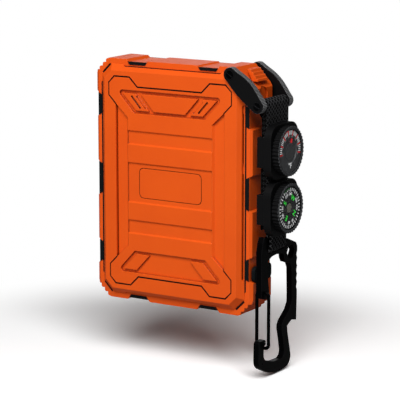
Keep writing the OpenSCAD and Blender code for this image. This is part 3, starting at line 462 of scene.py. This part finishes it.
def grow(name, seed, tree, values, body):
    # runs a geometry tree once over a seed mesh and keeps the plain mesh that comes out
    host = bpy.data.objects.new(name, seed)
    scene.collection.objects.link(host)
    modifier = host.modifiers.new("grow", "NODES")
    modifier.node_group = tree
    for item in tree.interface.items_tree:
        if item.item_type == "SOCKET" and item.in_out == "INPUT" and item.name in values:
            modifier[item.identifier] = values[item.name]
    mesh = plainMesh(host)
    mesh.name = name
    host.modifiers.clear()
    host.data = mesh
    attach(host, body)
    return host


def startTree(name, inputs):
    tree = bpy.data.node_groups.new(name, "GeometryNodeTree")
    tree.interface.new_socket("Geometry", in_out="INPUT", socket_type="NodeSocketGeometry")
    for label, kind in inputs:
        tree.interface.new_socket(label, in_out="INPUT", socket_type="NodeSocket" + kind)
    tree.interface.new_socket("Geometry", in_out="OUTPUT", socket_type="NodeSocketGeometry")
    graph = Graph(tree)
    source = graph.make("NodeGroupInput")
    return tree, graph, {s.name: Wire(graph, s) for s in source.outputs if s.name}


def endTree(graph, geometry, material):
    realized = graph.add("GeometryNodeRealizeInstances", None, {0: geometry})
    painted = graph.add("GeometryNodeSetMaterial", None, {"Geometry": realized, "Material": material})
    graph.make("NodeGroupOutput", None, {0: painted})


def dialTickTree():
    # small bars on an arc about X, every few of them longer
    tree, graph, given = startTree("dialTicks", [
        ("Count", "Int"), ("Start", "Float"), ("Step", "Float"), ("Rim", "Float"), ("Length", "Float"),
        ("Width", "Float"), ("Thickness", "Float"), ("Long Every", "Int"), ("Longer", "Float"),
        ("Centre", "Vector"), ("Material", "Material")])
    line = graph.add("GeometryNodeMeshLine", None, {"Count": given["Count"], "Offset": (0, 0, 0)})
    index = graph.add("GeometryNodeInputIndex")
    angle = given["Start"] + index * given["Step"]
    isLong = (index % given["Long Every"]) < 0.5
    stretch = 1 + isLong * (given["Longer"] - 1)
    reach = given["Rim"] - given["Length"] * stretch * 0.5
    spot = graph.add("ShaderNodeCombineXYZ", None, {0: 0.0, 1: angle.sin() * reach, 2: angle.cos() * reach})
    place = graph.add("ShaderNodeVectorMath", {"operation": "ADD"}, {0: spot, 1: given["Centre"]})
    moved = graph.add("GeometryNodeSetPosition", None, {"Geometry": line, "Position": place})
    size = graph.add("ShaderNodeCombineXYZ", None,
                     {0: given["Thickness"], 1: given["Width"], 2: given["Length"]})
    bar = graph.add("GeometryNodeMeshCube", None, {"Size": size})
    turn = graph.add("ShaderNodeCombineXYZ", None, {0: angle * -1, 1: 0.0, 2: 0.0})
    scale = graph.add("ShaderNodeCombineXYZ", None, {0: 1.0, 1: 1.0, 2: stretch})
    points = graph.add("GeometryNodeInstanceOnPoints", None,
                       {"Points": moved, "Instance": bar, "Rotation": turn, "Scale": scale})
    endTree(graph, points, given["Material"])
    return tree


def rimRibTree():
    # round rods across a plate, spaced along the outline that comes in as edges
    tree, graph, given = startTree("rimRibs", [
        ("Spacing", "Float"), ("Rib Radius", "Float"), ("Rib Length", "Float"), ("Material", "Material")])
    curve = graph.add("GeometryNodeMeshToCurve", None, {0: given["Geometry"]})
    spaced = graph.add("GeometryNodeResampleCurve", {"mode": "LENGTH"},
                       {"Curve": curve, "Length": given["Spacing"]})
    rod = graph.add("GeometryNodeMeshCylinder", {"fill_type": "NGON"},
                    {"Vertices": 10, "Radius": given["Rib Radius"], "Depth": given["Rib Length"]})
    ribs = graph.add("GeometryNodeInstanceOnPoints", None,
                     {"Points": spaced, "Instance": rod, "Rotation": (math.pi / 2, 0, 0)})
    endTree(graph, ribs, given["Material"])
    return tree


def stitchTree():
    # short rounded threads spaced along an open line
    tree, graph, given = startTree("stitches", [
        ("Spacing", "Float"), ("Thread", "Float"), ("Reach", "Float"), ("Material", "Material")])
    curve = graph.add("GeometryNodeMeshToCurve", None, {0: given["Geometry"]})
    spaced = graph.make("GeometryNodeCurveToPoints", {"mode": "LENGTH"},
                        {"Curve": curve, "Length": given["Spacing"]})
    thread = graph.add("GeometryNodeMeshIcoSphere", None, {"Radius": given["Thread"], "Subdivisions": 2})
    size = graph.add("ShaderNodeCombineXYZ", None, {0: 1.0, 1: 1.0, 2: given["Reach"]})
    threads = graph.add("GeometryNodeInstanceOnPoints", None,
                        {"Points": Wire(graph, spaced.outputs["Points"]), "Instance": thread,
                         "Rotation": Wire(graph, spaced.outputs["Rotation"]), "Scale": size})
    endTree(graph, threads, given["Material"])
    return tree


def edgeMesh(name, points, closed):
    mesh = bpy.data.meshes.new(name)
    edges = [(i, i + 1) for i in range(len(points) - 1)]
    if closed:
        edges.append((len(points) - 1, 0))
    mesh.from_pydata(points, edges, [])
    return mesh


# a dark bead for the seal in the plate's gap, which also paints the gap's shade
plateSealAndShade = {  # quarter: the plate's corner lobe, (x, height over the plate's middle) in mm
    "quarter": ((24.3, 61.9), (30.4, 68), (41.8, 68), (45.9, 63.9), (45.9, 55.9), (40.5, 50.5)),
    "middle": 0.3 * mm, "flat": 1.0 * mm, "upright": 0.55 * mm, "proud": 0.04 * mm, "deep": 0.7 * mm,
}


def buildSeal(name, settings, up):
    # dark bead in the gap round one end of the plate, partly seal and partly painted shade of the gap,
    # broader on its level runs as painted shade; up is 1 or -1
    quarter = [Vector((x * mm, up * z * mm)) for x, z in settings["quarter"]]
    line = [Vector((-p.x, p.y)) for p in quarter[::-1]] + quarter
    low, high = boxOf("front_plate")
    face = low.y - settings["proud"]
    back = low.y + settings["deep"]
    runs = [(b - a).normalized() for a, b in zip(line, line[1:])]
    work = bmesh.new()
    rings = []
    for i, point in enumerate(line):
        before, after = runs[max(0, i - 1)], runs[min(i, len(runs) - 1)]
        out = Vector((-before.y - after.y, before.x + after.x)).normalized() * up
        stretch = 1 / max(0.5, abs(out.dot(Vector((-after.y, after.x)))))
        level = (abs(before.x) + abs(after.x)) / 2
        half = (settings["upright"] + (settings["flat"] - settings["upright"]) * level) / 2
        edges = [point + out * (settings["middle"] + side * half) * stretch for side in (-1, 1)]
        rings.append([work.verts.new((p.x, y, (low.z + high.z) / 2 + p.y))
                      for p, y in ((edges[0], face), (edges[1], face), (edges[1], back), (edges[0], back))])
    for first, second in zip(rings, rings[1:]):
        bridge(work, first, second)
    work.faces.new(rings[0])
    work.faces.new(rings[-1])
    return closePiece(name, work, "case", sealAndShadeRubber)


sealAndShadeRubber = blackPlastic("sealAndShadeRubber", dict(rubber, colour=linear(7, 5, 4), edge=linear(12, 9, 8)))
buildSeal("plateSealAndShadeTop", plateSealAndShade, 1)
buildSeal("plateSealAndShadeLow", plateSealAndShade, -1)
print("plate sealed")


# spots that the strap and the gauges share
barSpot = middleOf("strap_bar")
webLow, webHigh = boxOf("webbing")
compassMid = middleOf("compass_ring")
thermometerMid = middleOf("thermometer_ring")

strap = {
    "thickness": 1.62 * mm, "round": 0.5 * mm, "barRadius": 3.13 * mm, "layerGap": 1.9 * mm,
    "merge": 9 * mm, "step": 1.2 * mm, "turnSteps": 24, "easeSteps": 10, "cornerSteps": 4, "clear": 0.02 * mm,
    "settle": 0.1 * mm, "narrow": (-6.85 * mm, 12.45 * mm), "taper": 14 * mm,
}


def strapPath(settings):
    # centre line of the loop in (x, z), from the bar round the carabiner and back
    r, merge, settle = settings["barRadius"], settings["merge"], settings["settle"]
    low = webLow.z + r + settings["thickness"] / 2 + settings["clear"]
    right = barSpot.x + r
    left = barSpot.x - r
    inner = right - settings["layerGap"]
    points = []

    def turn(height, first, start, way):
        for i in range(first, settings["turnSteps"] + 1):
            a = start + way * math.pi * i / settings["turnSteps"]
            points.append((barSpot.x + r * math.cos(a), height + r * math.sin(a)))

    def straight(start, end):
        steps = max(2, int(math.dist(start, end) / settings["step"]))
        for k in range(1, steps + 1):
            t = k / steps
            points.append((start[0] + (end[0] - start[0]) * t, start[1] + (end[1] - start[1]) * t))

    def easy(start, end):
        for k in range(1, settings["easeSteps"] + 1):
            t = k / settings["easeSteps"]
            s = t * t * (3 - 2 * t)
            points.append((start[0] + (end[0] - start[0]) * s, start[1] + (end[1] - start[1]) * t))

    turn(barSpot.z, 0, math.pi, -1)
    straight((right, barSpot.z), (right, low + settle))
    turn(low, 1, 0, -1)
    easy((left, low), (inner, low + merge))
    straight((inner, low + merge), (inner, barSpot.z - merge))
    easy((inner, barSpot.z - merge), (left, barSpot.z - settle))
    return points


def strapEdges(z, settings):
    # full width at the gauges, narrower where it goes through the carabiner
    t = min(1, max(0, (compassMid.z - z) / settings["taper"]))
    narrowLow, narrowHigh = settings["narrow"]
    return webLow.y + (narrowLow - webLow.y) * t, webHigh.y + (narrowHigh - webHigh.y) * t


def buildStrap(name, path, settings, material, body):
    # rounded flat section swept round the path, its weave map laid along the band
    half = settings["thickness"] / 2
    corner = settings["round"]
    section = []
    for cy, cz, start in ((1, 1, 0), (-1, 1, 90), (-1, -1, 180), (1, -1, 270)):
        for k in range(settings["cornerSteps"] + 1):
            a = math.radians(start + 90 / settings["cornerSteps"] * k)
            section.append((cy, cz, corner * math.cos(a), corner * math.sin(a)))
    work = bmesh.new()
    uvLayer = work.loops.layers.uv.new("weave")
    rings = []
    lengths = [0.0]
    count = len(path)
    for i, point in enumerate(path):
        before = path[i - 1]
        after = path[(i + 1) % count]
        tangent = Vector((after[0] - before[0], after[1] - before[1])).normalized()
        normal = Vector((-tangent.y, tangent.x))
        lowEdge, highEdge = strapEdges(point[1], settings)
        ring = []
        for cy, cz, dy, dz in section:
            y = (highEdge - corner if cy > 0 else lowEdge + corner) + dy
            h = cz * (half - corner) + dz
            ring.append(work.verts.new((point[0] + normal.x * h, y, point[1] + normal.y * h)))
        rings.append(ring)
        lengths.append(lengths[-1] + math.dist(point, after))
    size = len(section)
    for i in range(count):
        a, b = rings[i], rings[(i + 1) % count]
        for k, face in enumerate(bridge(work, a, b)):
            face.smooth = True
            for loop in face.loops:
                onNext = loop.vert in (b[k], b[(k + 1) % size])
                cy, cz, dy, dz = section[k if loop.vert in (a[k], b[k]) else (k + 1) % size]
                lean = (dz if cz > 0 else -dz) if abs(dy) > 0.1 * mm else 0
                loop[uvLayer].uv = (loop.vert.co.y + lean, lengths[i + onNext])
    return closePiece(name, work, body, material)


weaveMaterial = wovenNylon("wovenNylon", weave, (webLow.y, webHigh.y))
path = strapPath(strap)
strapPiece = buildStrap("strapWeave", path, strap, weaveMaterial, "strap")
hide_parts("webbing")
threadBlack = plainPaint("threadBlack", linear(20, 20, 21), 0.6)
stitches = stitchTree()
stitching = {
    "spacing": 2.1 * mm, "thread": 0.3 * mm, "reach": 2.6, "inset": 2.2 * mm, "bury": 0.05 * mm,
    "rows": {"Top": 7.5 * mm, "TopLower": 9.6 * mm},
}
for label, drop in stitching["rows"].items():
    line = [(webHigh.x - stitching["bury"], y, barSpot.z - drop)
            for y in (webLow.y + stitching["inset"], webHigh.y - stitching["inset"])]
    name = "strapStitch" + label
    grow(name, edgeMesh(name + "Line", line, False), stitches, {
        "Spacing": stitching["spacing"], "Thread": stitching["thread"], "Reach": stitching["reach"],
        "Material": threadBlack}, "strap")
print("strap woven:", len(path), "rings")


tail = {
    "round": 0.35 * mm, "roundSteps": 3,
    "look": dict(weave, across=1.2 * mm, along=0.9 * mm, thread=linear(50, 54, 56), depth=0.1 * mm),
}


def buildTail(name, low, high, settings, material, body):
    # folded end of the tape inside the strap
    work = bmesh.new()
    bmesh.ops.create_cube(work, size=1)
    for vert in work.verts:
        vert.co = Vector(((low[k] + high[k]) / 2 + vert.co[k] * (high[k] - low[k]) for k in range(3)))
    bmesh.ops.bevel(work, geom=work.edges[:], offset=settings["round"], segments=settings["roundSteps"],
                    affect="EDGES")
    uvLayer = work.loops.layers.uv.new("weave")
    for face in work.faces:
        face.smooth = True
        for loop in face.loops:
            loop[uvLayer].uv = (loop.vert.co.y, loop.vert.co.z)
    return closePiece(name, work, body, material)


tailLow, tailHigh = boxOf("webbing_tail")
tailMaterial = wovenNylon("tailTape", tail["look"], (tailLow.y, tailHigh.y))
tailPiece = buildTail("strapTail", tailLow, tailHigh, tail, tailMaterial, "strap")
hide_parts("webbing_tail")
print("tail folded")


# inks for both gauges, their glow painted light on the print under the lens
inkWhite = plainPaint("inkWhite", linear(222, 224, 224), 0.5, 0.75)
inkRed = plainPaint("inkRed", linear(210, 30, 36), 0.5, 0.5)
inkGreen = plainPaint("inkGreen", linear(46, 220, 62), 0.5, 0.85)
inkGrey = plainPaint("inkGrey", linear(150, 152, 152), 0.5, 0.25)
inkDimGreen = plainPaint("inkDimGreen", linear(40, 120, 52), 0.5, 0.1)
ticks = dialTickTree()
printing = {"arcSteps": 40, "arcThick": 0.04 * mm, "ringSteps": 96, "ringSink": 0.005 * mm}
characters = {"capitalShare": 0.7, "extrude": 0.02 * mm, "bold": 0.035 * mm}


def around(centre, face, radius, angle):
    # point on a circle about X, at an angle clockwise from the top
    return face, centre.y + radius * math.sin(angle), centre.z + radius * math.cos(angle)


def lettering(name, text, height, dial, material, angle, radius, tilt=None):
    # flat characters facing +X; heights and radii of printing are in mm
    curve = bpy.data.curves.new(name + "Curve", "FONT")
    curve.body = text
    curve.size = height * mm / characters["capitalShare"]
    curve.align_x = "CENTER"
    curve.align_y = "CENTER"
    curve.extrude = characters["extrude"]
    curve.offset = characters["bold"]
    shaper = bpy.data.objects.new(name + "Shaper", curve)
    scene.collection.objects.link(shaper)
    mesh = plainMesh(shaper)
    bpy.data.objects.remove(shaper)
    upright = Matrix(((0, 0, 1, 0), (1, 0, 0, 0), (0, 1, 0, 0), (0, 0, 0, 1)))
    spin = Matrix.Rotation(-(angle if tilt is None else tilt), 4, "X")
    spot = Vector(around(dial["centre"], dial["print"], radius * mm, angle))
    mesh.transform(Matrix.Translation(spot) @ spin @ upright)
    return addPiece(name, mesh, dial["body"], material)


def arcStrip(name, centre, face, arc, body, material):
    # thin printed arc facing +X
    work = bmesh.new()
    rows = []
    for i in range(printing["arcSteps"] + 1):
        angle = math.radians(arc["start"] + (arc["end"] - arc["start"]) * i / printing["arcSteps"])
        radii = [(arc["radius"] + side * arc["width"]) * mm for side in (-0.5, 0.5)]
        rows.append([work.verts.new(around(centre, face + height, radius, angle))
                     for height in (0, printing["arcThick"]) for radius in radii])
    for a, b in zip(rows, rows[1:]):
        for i, k in ((2, 3), (0, 2), (3, 1), (1, 0)):
            work.faces.new((a[i], a[k], b[k], b[i]))
    for row in (rows[0], rows[-1]):
        work.faces.new((row[0], row[1], row[3], row[2]))
    return closePiece(name, work, body, material)


def scaleRing(name, dial, settings, material):
    # raised ring that the scale is printed on
    inner, outer, top = (settings[key] * mm for key in ("ringInner", "ringOuter", "ringLift"))
    base = dial["face"] - printing["ringSink"]
    turns = [2 * math.pi * i / printing["ringSteps"] for i in range(printing["ringSteps"])]
    work = bmesh.new()
    rings = [[work.verts.new(around(dial["centre"], base + height, radius, a)) for a in turns]
             for radius, height in ((inner, 0), (inner + top * 0.4, top), (outer, top), (outer, 0))]
    for first, second in zip(rings, rings[1:] + rings[:1]):
        bridge(work, first, second)
    return closePiece(name, work, dial["body"], material)


def tickRow(name, dial, settings, kind, count, start, step, material, every=1, longer=1.0):
    # kind names a tick's length, width and thickness in mm
    length, width, thickness = (v * mm for v in settings[kind])
    centre = dial["centre"]
    grow(name, bpy.data.meshes.new(name + "Seed"), ticks, {
        "Count": count, "Start": start, "Step": step, "Rim": settings["rim"] * mm,
        "Length": length, "Width": width, "Thickness": thickness, "Long Every": every, "Longer": longer,
        "Centre": (dial["print"], centre.y, centre.z), "Material": material}, dial["body"])


thermometer = {  # lengths in mm, angles in degrees clockwise from the top
    "scaleStart": -97, "scaleEnd": 101, "minor": 35, "rim": 12.95,
    "tick": (2.5, 0.4, 0.06), "redTick": (3.4, 0.72, 0.1),
    "numbers": ("-20", "0", "20", "40", "60", "80", "100", "120"), "numberSize": 1.4, "numberRadius": 9.3,
    "unitSize": 3.4, "unitRadius": 9.4, "arc": {"radius": 13.15, "width": 0.4, "start": -42, "end": -9},
    "bodyColour": linear(88, 89, 91), "rimColour": linear(82, 83, 85), "faceRadius": 14.4,
    "ringInner": 8.1, "ringOuter": 13.9, "ringLift": 0.74, "clear": 0.01,
}


def printThermometer(settings):
    centre = thermometerMid
    face = boxOf("thermometer_dial")[1].x + settings["clear"] * mm
    dial = {"centre": centre, "face": face, "print": face + settings["ringLift"] * mm, "body": "strap"}
    paper = dialFace("thermometerFace", settings, centre)
    dress("thermometer_dial", paper)
    scaleRing("thermometerRim", dial, settings, paper)
    start = math.radians(settings["scaleStart"])
    sweep = math.radians(settings["scaleEnd"] - settings["scaleStart"])
    spans = len(settings["numbers"]) - 1
    tickRow("thermometerTicks", dial, settings, "tick", settings["minor"] + 1, start,
            sweep / settings["minor"], inkWhite)
    tickRow("thermometerMarks", dial, settings, "redTick", spans + 1, start, sweep / spans, inkRed)
    for i, text in enumerate(settings["numbers"]):
        lettering("thermometerNumber" + text, text, settings["numberSize"], dial, inkGrey,
                  start + sweep * i / spans, settings["numberRadius"])
    lettering("thermometerUnit", "°F", settings["unitSize"], dial, inkWhite, math.pi,
              settings["unitRadius"], 0.0)
    arcStrip("thermometerArc", centre, dial["print"], settings["arc"], "strap", inkRed)


pointer = {
    "disc": linear(84, 85, 87), "line": linear(128, 130, 133), "tip": linear(214, 30, 38), "glow": 0.5,
    "lineRadius": 4.9 * mm, "lineWidth": (0.05 * mm, 0.3 * mm), "tipStart": (5.32 * mm, 5.4 * mm),
}


def dressPointer(settings):
    # disc in the dial's grey with a faint line round it, tip in red with a glow of painted light
    material, graph = newMaterial("pointerPaint")
    reach = reachFrom(graph, thermometerMid)
    red = reach.smooth(*settings["tipStart"])
    ring = 1 - abs(reach - settings["lineRadius"]).smooth(*settings["lineWidth"])
    colour = mixColour(graph, ring * 0.35, settings["disc"], settings["line"])
    colour = mixColour(graph, red, colour, settings["tip"])
    finishMaterial(graph, {"Base Color": colour, "Roughness": 0.42 + ring * 0.1,
                           "Emission Color": mixColour(graph, red, (0, 0, 0, 1), settings["tip"]),
                           "Emission Strength": settings["glow"]})
    dress("thermometer_pointer", material)


printThermometer(thermometer)
dressPointer(pointer)
print("thermometer printed")

compass = {  # lengths in mm, angles in degrees clockwise from the top
    "north": 125, "letters": "NESW", "letterSize": 3.3, "letterRadius": 6.9,
    "numbers": (30, 60, 120, 150, 210, 240, 300, 330), "numberSize": 1.7, "numberRadius": 9.0,
    "ticks": 36, "rim": 12.85, "tick": (1.8, 0.5, 0.06), "longEvery": 3, "longer": 1.3,
    "bodyColour": linear(44, 44, 46), "rimColour": linear(54, 54, 57), "faceRadius": 13.2,
    "ringInner": 3.3, "ringOuter": 13.1, "ringLift": 0.84,
    "hubHeight": 0.49, "bossRadius": 3.1, "bossDome": 0.14, "clear": 0.02,
    "rimLight": {"radius": 14.4, "width": 0.3, "start": -100, "end": -54, "clear": 0.01},
    "lubber": {"radius": 12.6, "width": 0.9, "start": -34, "end": 2, "clear": 0.06},
}


def printCompass(settings):
    centre = compassMid
    cardFront = boxOf("compass_card")[1].x
    face = cardFront - settings["hubHeight"] * mm
    dial = {"centre": centre, "face": face, "print": face + settings["ringLift"] * mm, "body": "card"}
    paper = dialFace("compassFace", settings, centre)
    dress("compass_card", paper)
    scaleRing("compassRim", dial, settings, paper)
    north = math.radians(settings["north"])
    tickRow("compassTicks", dial, settings, "tick", settings["ticks"], north,
            2 * math.pi / settings["ticks"], inkWhite, settings["longEvery"], settings["longer"])
    for i, letter in enumerate(settings["letters"]):
        lettering("compassLetter" + letter, letter, settings["letterSize"], dial, inkGreen,
                  north + i * math.pi / 2, settings["letterRadius"])
    for number in settings["numbers"]:
        lettering("compassNumber%d" % number, str(number), settings["numberSize"], dial, inkWhite,
                  north + math.radians(number), settings["numberRadius"])
    # domed boss over the pivot, then a painted highlight arc on the ring and the mark under the lens
    work = bmesh.new()
    bmesh.ops.create_uvsphere(work, u_segments=32, v_segments=16, radius=settings["bossRadius"] * mm)
    for vert in work.verts:
        rise = settings["clear"] * mm + max(0, vert.co.z) * settings["bossDome"]
        vert.co = Vector((cardFront + rise, centre.y + vert.co.x, centre.z + vert.co.y))
    for polygon in work.faces:
        polygon.smooth = True
    closePiece("compassBoss", work, "card", plainGloss("bossPlastic", linear(150, 150, 134), 0.35))
    # painted highlight: a grey arc on the ring stands in for the lens edge catching light
    rim = boxOf("compass_ring")[1].x + settings["rimLight"]["clear"] * mm
    arcStrip("compassRimLight", centre, rim, settings["rimLight"], "strap", inkGrey)
    underLens = boxOf("compass_lens")[0].x - settings["lubber"]["clear"] * mm
    arcStrip("compassLubber", centre, underLens, settings["lubber"], "strap", inkDimGreen)


printCompass(compass)
print("compass printed")


bail = {
    "spacing": 0.95 * mm, "rib": 0.34 * mm, "sink": 0.16 * mm, "short": 0.5 * mm,
    "look": dict(nylon, colour=linear(132, 132, 133), edge=linear(150, 150, 151), roughness=0.45),
}


def rimOutline(name, y, sink):
    # the plate's outer outline, read as a convex walk round its mesh in (x, z)
    points = sorted({(round(v.co.x, 6), round(v.co.z, 6)) for v in cadNodes[name].data.vertices})

    def half(items):
        chain = []
        for p in items:
            while len(chain) > 1:
                (ax, az), (bx, bz) = chain[-2], chain[-1]
                if (bx - ax) * (p[1] - az) - (bz - az) * (p[0] - ax) > 0:
                    break
                chain.pop()
            chain.append(p)
        return chain[:-1]

    hull = half(points) + half(points[::-1])
    middle = Vector((sum(p[0] for p in hull) / len(hull), sum(p[1] for p in hull) / len(hull)))
    shrunk = []
    for p in hull:
        arm = Vector(p) - middle
        shrunk.append(middle + arm * (1 - sink / arm.length))
    return [(p.x, y, p.y) for p in shrunk]


ribs = rimRibTree()
ribGrey = blackPlastic("rimGrey", bail["look"])
for side in ("front", "rear"):
    plate = "bail_plate_" + side
    low, high = boxOf(plate)
    outline = rimOutline(plate, (low.y + high.y) / 2, bail["sink"])
    name = "rimRibs_" + side
    grow(name, edgeMesh(name + "Line", outline, True), ribs, {
        "Spacing": bail["spacing"], "Rib Radius": bail["rib"],
        "Rib Length": high.y - low.y - bail["short"], "Material": ribGrey}, "bail")
print("bail ribbed")


stageLook = {
    "floorSize": 6, "floorDrop": 1.2 * mm, "nearFloor": (0.15, 0.26), "seenPaint": 1.25, "bouncePaint": 0.3,
    "worldLight": 0.06,
    "camera": (0.67747, -1.06197, 0.31355), "azimuth": 32.053, "elevation": 11.045, "lens": 178.6,
    "sensor": 36,
}
lights = {  # where each stands, where it aims, its size and its power
    "key": {"spot": (0.1, -1.55, 0.2), "aim": (0, 0, 0.1), "size": (0.8, 0.4), "power": 4.6},
    "top": {"spot": (0.25, -0.8, 1.05), "aim": (0, 0, 0.05), "size": (0.9, 0.6), "power": 18.5},
    "rim": {"spot": (-0.75, 1.2, 0.44), "aim": (0, 0, 0.12), "size": (0.9, 0.4), "power": 1.3},
    "backFill": {"spot": (-0.25, 1.5, -0.05), "aim": (0, 0, 0.06), "size": (0.8, 0.5), "power": 9},
    "floorWash": {"spot": (0.54, -0.83, 0.97), "aim": (0, 0, 0), "size": (1.2, 0.9), "power": 25,
                  "floorOnly": True},
}


def paleFloor(settings):
    # keeps its shade near the part and turns plain white farther out
    low = min(boxOf(n)[0].z for n in cadNodes)
    work = bmesh.new()
    bmesh.ops.create_grid(work, x_segments=1, y_segments=1, size=settings["floorSize"])
    bmesh.ops.translate(work, verts=work.verts, vec=(0, 0, low - settings["floorDrop"]))
    mesh = bpy.data.meshes.new("floor")
    work.to_mesh(mesh)
    work.free()
    floor = bpy.data.objects.new("floor", mesh)
    scene.collection.objects.link(floor)
    material, graph = newMaterial("paleFloor")
    rays = graph.make("ShaderNodeLightPath")
    seen = Wire(graph, rays.outputs["Is Camera Ray"])
    reach = graph.add("ShaderNodeVectorMath", {"operation": "LENGTH"}, {0: objectPlace(graph)}, "Value")
    far = reach.smooth(*settings["nearFloor"])
    bounce, shown = settings["bouncePaint"], settings["seenPaint"]
    level = mixColour(graph, seen, (bounce, bounce, bounce, 1), (shown, shown, shown, 1))
    paint = graph.add("ShaderNodeBsdfDiffuse", None, {"Color": level})
    glow = graph.add("ShaderNodeEmission", None, {"Color": (1, 1, 1, 1), "Strength": 1.0})
    both = graph.add("ShaderNodeMixShader", None, {0: far * seen, 1: paint, 2: glow})
    graph.make("ShaderNodeOutputMaterial", None, {"Surface": both})
    mesh.materials.append(material)


def softWorld(settings):
    # white behind the part, but a weak light on it
    world = bpy.data.worlds.new("studio")
    scene.world = world
    world.use_nodes = True
    world.node_tree.nodes.clear()
    graph = Graph(world.node_tree)
    rays = graph.make("ShaderNodeLightPath")
    seen = Wire(graph, rays.outputs["Is Camera Ray"])
    strength = settings["worldLight"] + seen * (1 - settings["worldLight"])
    sky = graph.add("ShaderNodeBackground", None, {"Color": (1, 1, 1, 1), "Strength": strength})
    graph.make("ShaderNodeOutputWorld", None, {"Surface": sky})


def areaLight(name, settings):
    # the floor is lit by a light of its own, so that its shadow stays under the case
    lamp = bpy.data.lights.new(name, "AREA")
    lamp.shape = "RECTANGLE"
    lamp.size, lamp.size_y = settings["size"]
    lamp.energy = settings["power"]
    holder = bpy.data.objects.new(name, lamp)
    scene.collection.objects.link(holder)
    aim = Vector(settings["aim"]) - Vector(settings["spot"])
    turn = aim.to_track_quat("-Z", "Y").to_matrix().to_4x4()
    holder.matrix_world = Matrix.Translation(settings["spot"]) @ turn
    lit = bpy.data.collections.new(name + "Lit")
    lit.objects.link(scene.objects["floor"])
    lit.collection_objects[0].light_linking.link_state = "INCLUDE" if settings.get("floorOnly") else "EXCLUDE"
    holder.light_linking.receiver_collection = lit


def placeCamera(settings):
    a = math.radians(settings["azimuth"])
    e = math.radians(settings["elevation"])
    back = Vector((math.sin(a) * math.cos(e), -math.cos(a) * math.cos(e), math.sin(e)))
    right = Vector((math.cos(a), math.sin(a), 0))
    up = back.cross(right)
    camera = bpy.data.cameras.new("camera")
    camera.lens = settings["lens"]
    camera.sensor_width = settings["sensor"]
    camera.clip_start = 0.01
    holder = bpy.data.objects.new("camera", camera)
    scene.collection.objects.link(holder)
    turn = Matrix((right, up, back)).transposed().to_4x4()
    holder.matrix_world = Matrix.Translation(settings["camera"]) @ turn
    scene.camera = holder


paleFloor(stageLook)
softWorld(stageLook)
for name, settings in lights.items():
    areaLight(name, settings)
placeCamera(stageLook)
scene.view_settings.view_transform = "Standard"
print("stage set")
